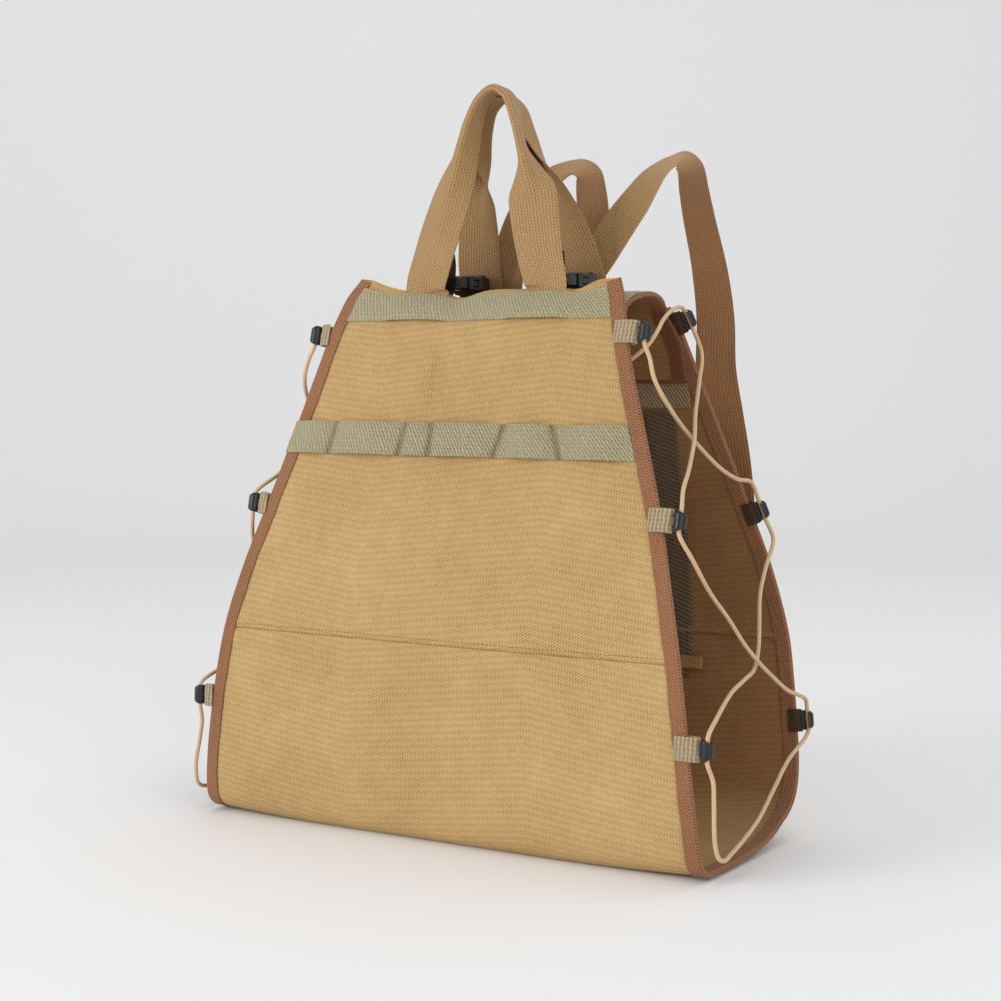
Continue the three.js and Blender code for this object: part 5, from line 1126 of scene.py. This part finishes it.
def edgeAxes(side, s, sign):
    edge = bodyPoint(s, sign * canvasHalfWidth(s))
    inner = bodyPoint(s, sign * (canvasHalfWidth(s) - tape["reach"]))
    low, high = s - 0.1, s + 0.1
    along = unit(bodyPoint(high, sign * canvasHalfWidth(high)) - bodyPoint(low, sign * canvasHalfWidth(low)))
    out = squareTo(unit(edge - inner), along)
    away = unit(np.cross(along, out))
    if np.dot(away, bodyNormal(s, 0.0)) < 0:
        away = -away
    if side == "front":
        out = unit(np.array([away[1], -away[0], 0]) * -sign)
    return edge, out, away, np.cross(out, away)


def addTab(name, node, axes, part, reachIn, material, slot):
    inside = tapeOutside + 0.5 + lacing["tabThickness"] / 2
    endInside = lacing["wall"] / 2 + 0.3 + lacing["tabThickness"] / 2
    bend = body["gap"] + tape["thickness"] + tape["nose"] + part["slack"]
    end = part["reachOut"]
    start = [(-reachIn, inside - 0.35)] + [(3 - reachIn, inside - 0.1)] * (reachIn > 3)
    rows = np.array(start + [
        (bend - 2.4, inside), (bend, inside - 0.15),
        (end - 0.5, endInside + 0.1), (end + 0.45, endInside - 0.7), (end + 0.6, 0),
        (end + 0.45, 0.7 - endInside), (end - 0.5, -endInside - 0.1), (bend, 0.15 - inside), (0.5, -inside),
        (-lacing["reachInside"], 0.2 - inside)])
    line = evenly(curveThrough(rows, np.linspace(0, len(rows) - 1, 400)), 54)
    middle, outward = bentShape(axes, line, lacing["tabHeight"], 15)
    across = np.linspace(0, lacing["tabHeight"], 15)
    shape = slab(middle, outward, lacing["tabThickness"], 0.8, across, walked(line))
    makeMesh(name, *shape, material, slot, (node,))
    face = axes[2]
    for out in (1.6 - reachIn, bend - 1.2) if reachIn > 3 else ():
        up = np.linspace(-0.44, 0.44, 12) * lacing["tabHeight"]
        local = np.stack([np.full(12, out), np.full(12, inside + lacing["tabThickness"] / 2), up], axis=-1)
        tabStitches.append((inAxes(axes, local), np.broadcast_to(face, (12, 3))))


def addHook(name, node, axes, part):
    start = body["gap"] + tape["thickness"] + tape["nose"] + part["slack"] - 0.3
    outer = lacing["eye"] + lacing["wall"]
    place = part["reachOut"] + lacing["tabThickness"] + part["neckGap"] + outer
    neck = np.stack([np.linspace(start, place - lacing["eye"] - 0.8, 12), np.zeros(12)], axis=-1)
    tall, narrow = lacing["hookHeight"], lacing["neckWidth"]
    neckTall = np.interp(neck[:, 0], [part["reachOut"] - 1.4, part["reachOut"] - 0.4], [tall, narrow])
    angle = np.radians(np.linspace(lacing["curlFrom"], lacing["curlTo"], 30))
    radius = lacing["eye"] + lacing["wall"] / 2
    curl = np.stack([place + radius * np.cos(angle), radius * np.sin(angle)], axis=-1)
    share = np.clip((curl[:, 0] - place + radius) / (2 * radius), 0, 1)
    curlTall = tall * np.sqrt(1 - 0.62 * share ** 2)
    shapes = []
    for line, height in ((neck, neckTall), (curl, curlTall)):
        middle, outward = bentShape(axes, line, height, 9)
        shapes.append(slab(middle, outward, lacing["wall"], 0.9, np.linspace(0, 13, 9), walked(line)))
    makeMesh(name, *joined(shapes), blackPlastic, "black_plastic", (node,))


def addLacing():
    for side, part in lacingSides.items():
        for rowName, heights in lacingRows.items():
            s = np.array(stationAt(heights[side] * body["height"], side))
            for sideName, sign in (("left", -1), ("right", 1)):
                axes = edgeAxes(side, s, sign)
                place = f"{side}_{rowName}_{sideName}"
                # the back tabs take the dark webbing, whose colour holds painted shade
                finish = (tabCloth, "sage_webbing") if side == "front" else (shadedDarkCloth, "dark_webbing")
                addTab(f"loop_tab_{place}", f"lacing_tab_{place}", axes, part, part[sideName], *finish)
                addHook(f"cord_hook_{place}", f"lacing_hook_{place}", axes, part)


addLacing()
print("lacing made")

# Buckles: the moulded bodies keep their own form and get rounded edges. Their webbing follows points in
# the buckle's own axes: the first from front to back, the second up.

buckle = {"turnIn": 5, "depthAt": 103, "heightAt": 425.5, "length": 46, "thickness": 10, "web": 25,
          "tail": 21, "tailRise": 22, "tailLift": 3, "edge": 0.9, "plugSlot": -16.5, "socketSlot": 18.1}
cornerStrap = {"width": 12.5, "outward": 1, "low": 0.4, "high": 3}  # low and high are stations of the flap


def roundedCopy(name, node, edge):
    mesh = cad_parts[node].data.copy()
    mesh.name = name
    bm = bmesh.new()
    bm.from_mesh(mesh)
    bmesh.ops.remove_doubles(bm, verts=bm.verts, dist=1e-6)
    bmesh.ops.dissolve_limit(bm, angle_limit=0.02, verts=bm.verts, edges=bm.edges)
    sharp = [e for e in bm.edges if len(e.link_faces) == 2 and e.calc_face_angle() > 0.6]
    bmesh.ops.bevel(bm, geom=sharp, offset=edge * 0.001, segments=2, profile=0.6, affect="EDGES",
                    clamp_overlap=True)
    bm.to_mesh(mesh)
    bm.free()
    mesh.polygons.foreach_set("use_smooth", np.ones(len(mesh.polygons), dtype=bool))
    mesh.set_sharp_from_angle(angle=math.radians(40))
    mesh.materials.clear()
    mesh.materials.append(blackPlastic)
    piece = bpy.data.objects.new(name, mesh)
    bpy.context.scene.collection.objects.link(piece)
    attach(piece, "root")
    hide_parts(node)
    pieces[name] = piece


def onFlap(s, x, away):
    along = unit(flapPoint(s + 0.05, x) - flapPoint(s - 0.05, x))
    up = np.cross([1.0, 0, 0], along)
    up = unit(up * np.sign(up[..., 2:3]))
    return flapPoint(s, x) + up * (body["canvas"] / 2 + away)


def addStrap(name, node, path, width, material, slot):
    path = np.array(path)
    wide = np.broadcast_to([1.0, 0, 0], path.shape)
    middle, normal, across, at = webbingGrid(path, wide, width, 90)
    shape = slab(middle, normal, band["thickness"], 0.8, across, at)
    makeMesh(name, *shape, material, slot, (node,))


def addBuckles():
    half = band["thickness"] / 2
    reach, high = buckle["length"] / 2, buckle["thickness"] / 2
    for sideName, sign in (("left", -1), ("right", 1)):
        x = sign * (handle["spacing"] / 2 - buckle["turnIn"])
        at = lambda y, z: (x, buckle["depthAt"] + y, buckle["heightAt"] + z)
        roundedCopy(f"clip_plug_{sideName}", f"buckle_plug_{sideName}", buckle["edge"])
        roundedCopy(f"clip_socket_{sideName}", f"buckle_socket_{sideName}", buckle["edge"])
        lower = 0.5 + half
        upper = lower + band["thickness"] + 0.5
        slot = buckle["socketSlot"]
        addStrap(f"rear_loop_{sideName}", f"buckle_strap_{sideName}", [
            onFlap(np.array(6.9), x, lower), onFlap(np.array(6.4), x, lower), at(reach + 3, -high - 3.6),
            at(slot + 0.5, -high - 2), at(slot, -high), at(slot, high), at(slot + 1.6, high + 1.8),
            at(reach + 1.5, high + 1.4), at(reach + 4, high - 3), onFlap(np.array(6.4), x, upper + 0.6),
            onFlap(np.array(6.9), x, upper)], buckle["web"], shadedOliveCloth, "sage_webbing")
        s = np.linspace(topBandStation, topBandTop, 5)
        surface, normal = onCanvas(s, x)
        away = body["canvas"] / 2 + 0.5 + half + buckle["tailLift"] * np.linspace(0, 1, 5) ** 2
        sewn = surface - normal * away[:, None]
        slot = buckle["plugSlot"]
        addStrap(f"front_tail_{sideName}", f"buckle_tail_{sideName}", [
            *sewn, at(slot - 0.6, -high - 1.4), at(slot, -high + 2), at(slot, high),
            at(slot + 0.6, buckle["tailRise"] / 2 + 2), at(slot - 1, buckle["tailRise"])],
            buckle["tail"], shadedDarkCloth, "dark_webbing")
        wide = np.linspace(-0.5, 0.5, 9) * cornerStrap["width"]
        across = (flapCanvasHalf - cornerStrap["width"] / 2 + cornerStrap["outward"] + wide) * sign
        stations = np.linspace(cornerStrap["low"], cornerStrap["high"], 24)[:, None]
        middle = onFlap(stations, across[None, :], body["gap"] + tape["thickness"] + 0.5 + half)
        normal = unit(middle - flapPoint(stations, across[None, :]))
        shape = slab(middle, normal, band["thickness"], 0.8)
        makeMesh(f"corner_strap_{sideName}", *shape, sageCloth, "sage_webbing",
                 (f"corner_tab_{sideName}",))


addBuckles()
print("buckles made")

# Stitches

stitching = {
    "edge_tape": {"lines": tapeStitches, "pitch": 3.3, "stitch": 2.5, "thread": 0.55,
                  "material": rustThread},
    "tan_webbing": {"lines": handleStitches + shoulderStitches, "pitch": 3.4, "stitch": 2.5, "thread": 0.6,
                    "material": canvasThread},
    "sage_webbing": {"lines": bandStitches + barTacks + tabStitches, "pitch": 3.0, "stitch": 2.3,
                     "thread": 0.6, "material": sageThread},
    "canvas": {"lines": keeperStitches, "pitch": 3.6, "stitch": 2.6, "thread": 0.7, "material": seamThread},
}


def addStitches():
    x = np.linspace(-1, 1, 200)
    for row in (frontSeam - 0.075, backSeam + 0.075):
        s = np.array(row)
        across = x * (canvasHalfWidth(s) - tape["reach"] - 1)
        stitching["canvas"]["lines"].append(onCanvas(s, across, body["canvas"] / 2 + 0.35))
    for slot, row in stitching.items():
        shape = stitchBeads(row["lines"], row["pitch"], row["stitch"], row["thread"])
        makeMesh(f"stitches_{slot}", *shape, row["material"], slot)


addStitches()
print("stitches made")
print("pieces:", len(pieces))

# Floor and light

stage = {"floor": (0.9, 0.9, 0.905, 1), "sky": 0.56, "aim": (0, 0, 0.25)}


def addStage():
    size, bend, bendAt, rise, count = 6.0, 1.2, 2.2, 4.0, 40
    turn = np.linspace(-math.pi / 2, 0, 16)
    y = np.concatenate([[-size, 0.0], bendAt + bend * np.cos(turn), [bendAt + bend]])
    z = np.concatenate([[0.0, 0.0], bend + bend * np.sin(turn), [rise]])
    x = np.linspace(-size, size, count)
    points = np.stack(np.broadcast_arrays(x[:, None], y[None, :], z[None, :]), axis=-1)
    i, j = np.meshgrid(np.arange(count - 1), np.arange(len(y) - 1), indexing="ij")
    a = i * len(y) + j
    faces = np.stack([a, a + len(y), a + len(y) + 1, a + 1], axis=-1).reshape(-1, 4)
    mesh = bpy.data.meshes.new("floor sweep")
    mesh.from_pydata(points.reshape(-1, 3).tolist(), [], faces.tolist())
    mesh.polygons.foreach_set("use_smooth", np.ones(len(mesh.polygons), dtype=bool))
    material = bpy.data.materials.new("pale floor")
    material.use_nodes = True
    shader = material.node_tree.nodes["Principled BSDF"]
    shader.inputs["Base Color"].default_value = stage["floor"]
    shader.inputs["Roughness"].default_value = 0.9
    mesh.materials.append(material)
    floor = bpy.data.objects.new("floor_sweep", mesh)
    # turned square to the camera's view
    place, target = view["place"], view["target"]
    floor.rotation_euler = (0, 0, math.atan2(place[0] - target[0], target[1] - place[1]))
    bpy.context.scene.collection.objects.link(floor)


lamps = {
    "key": {"place": (-1.7, -2.6, 1.1), "size": 1.8, "power": 44},
    "fill": {"place": (2.6, -1.8, 1.4), "size": 2.6, "power": 27},
    "top": {"place": (0.4, 0.6, 3.0), "size": 2.4, "power": 20},
}


def addLamps():
    for name, lamp in lamps.items():
        data = bpy.data.lights.new(name, "AREA")
        data.shape = "SQUARE"
        data.size = lamp["size"]
        data.energy = lamp["power"]
        light = bpy.data.objects.new(name, data)
        light.location = lamp["place"]
        towards = Vector(stage["aim"]) - Vector(lamp["place"])
        light.rotation_euler = towards.to_track_quat("-Z", "Y").to_euler()
        bpy.context.scene.collection.objects.link(light)
    world = bpy.data.worlds.new("studio")
    world.use_nodes = True
    world.node_tree.nodes["Background"].inputs[0].default_value = (1, 1, 1, 1)
    world.node_tree.nodes["Background"].inputs[1].default_value = stage["sky"]
    bpy.context.scene.world = world
    bpy.context.scene.view_settings.view_transform = "Standard"


addStage()
addLamps()
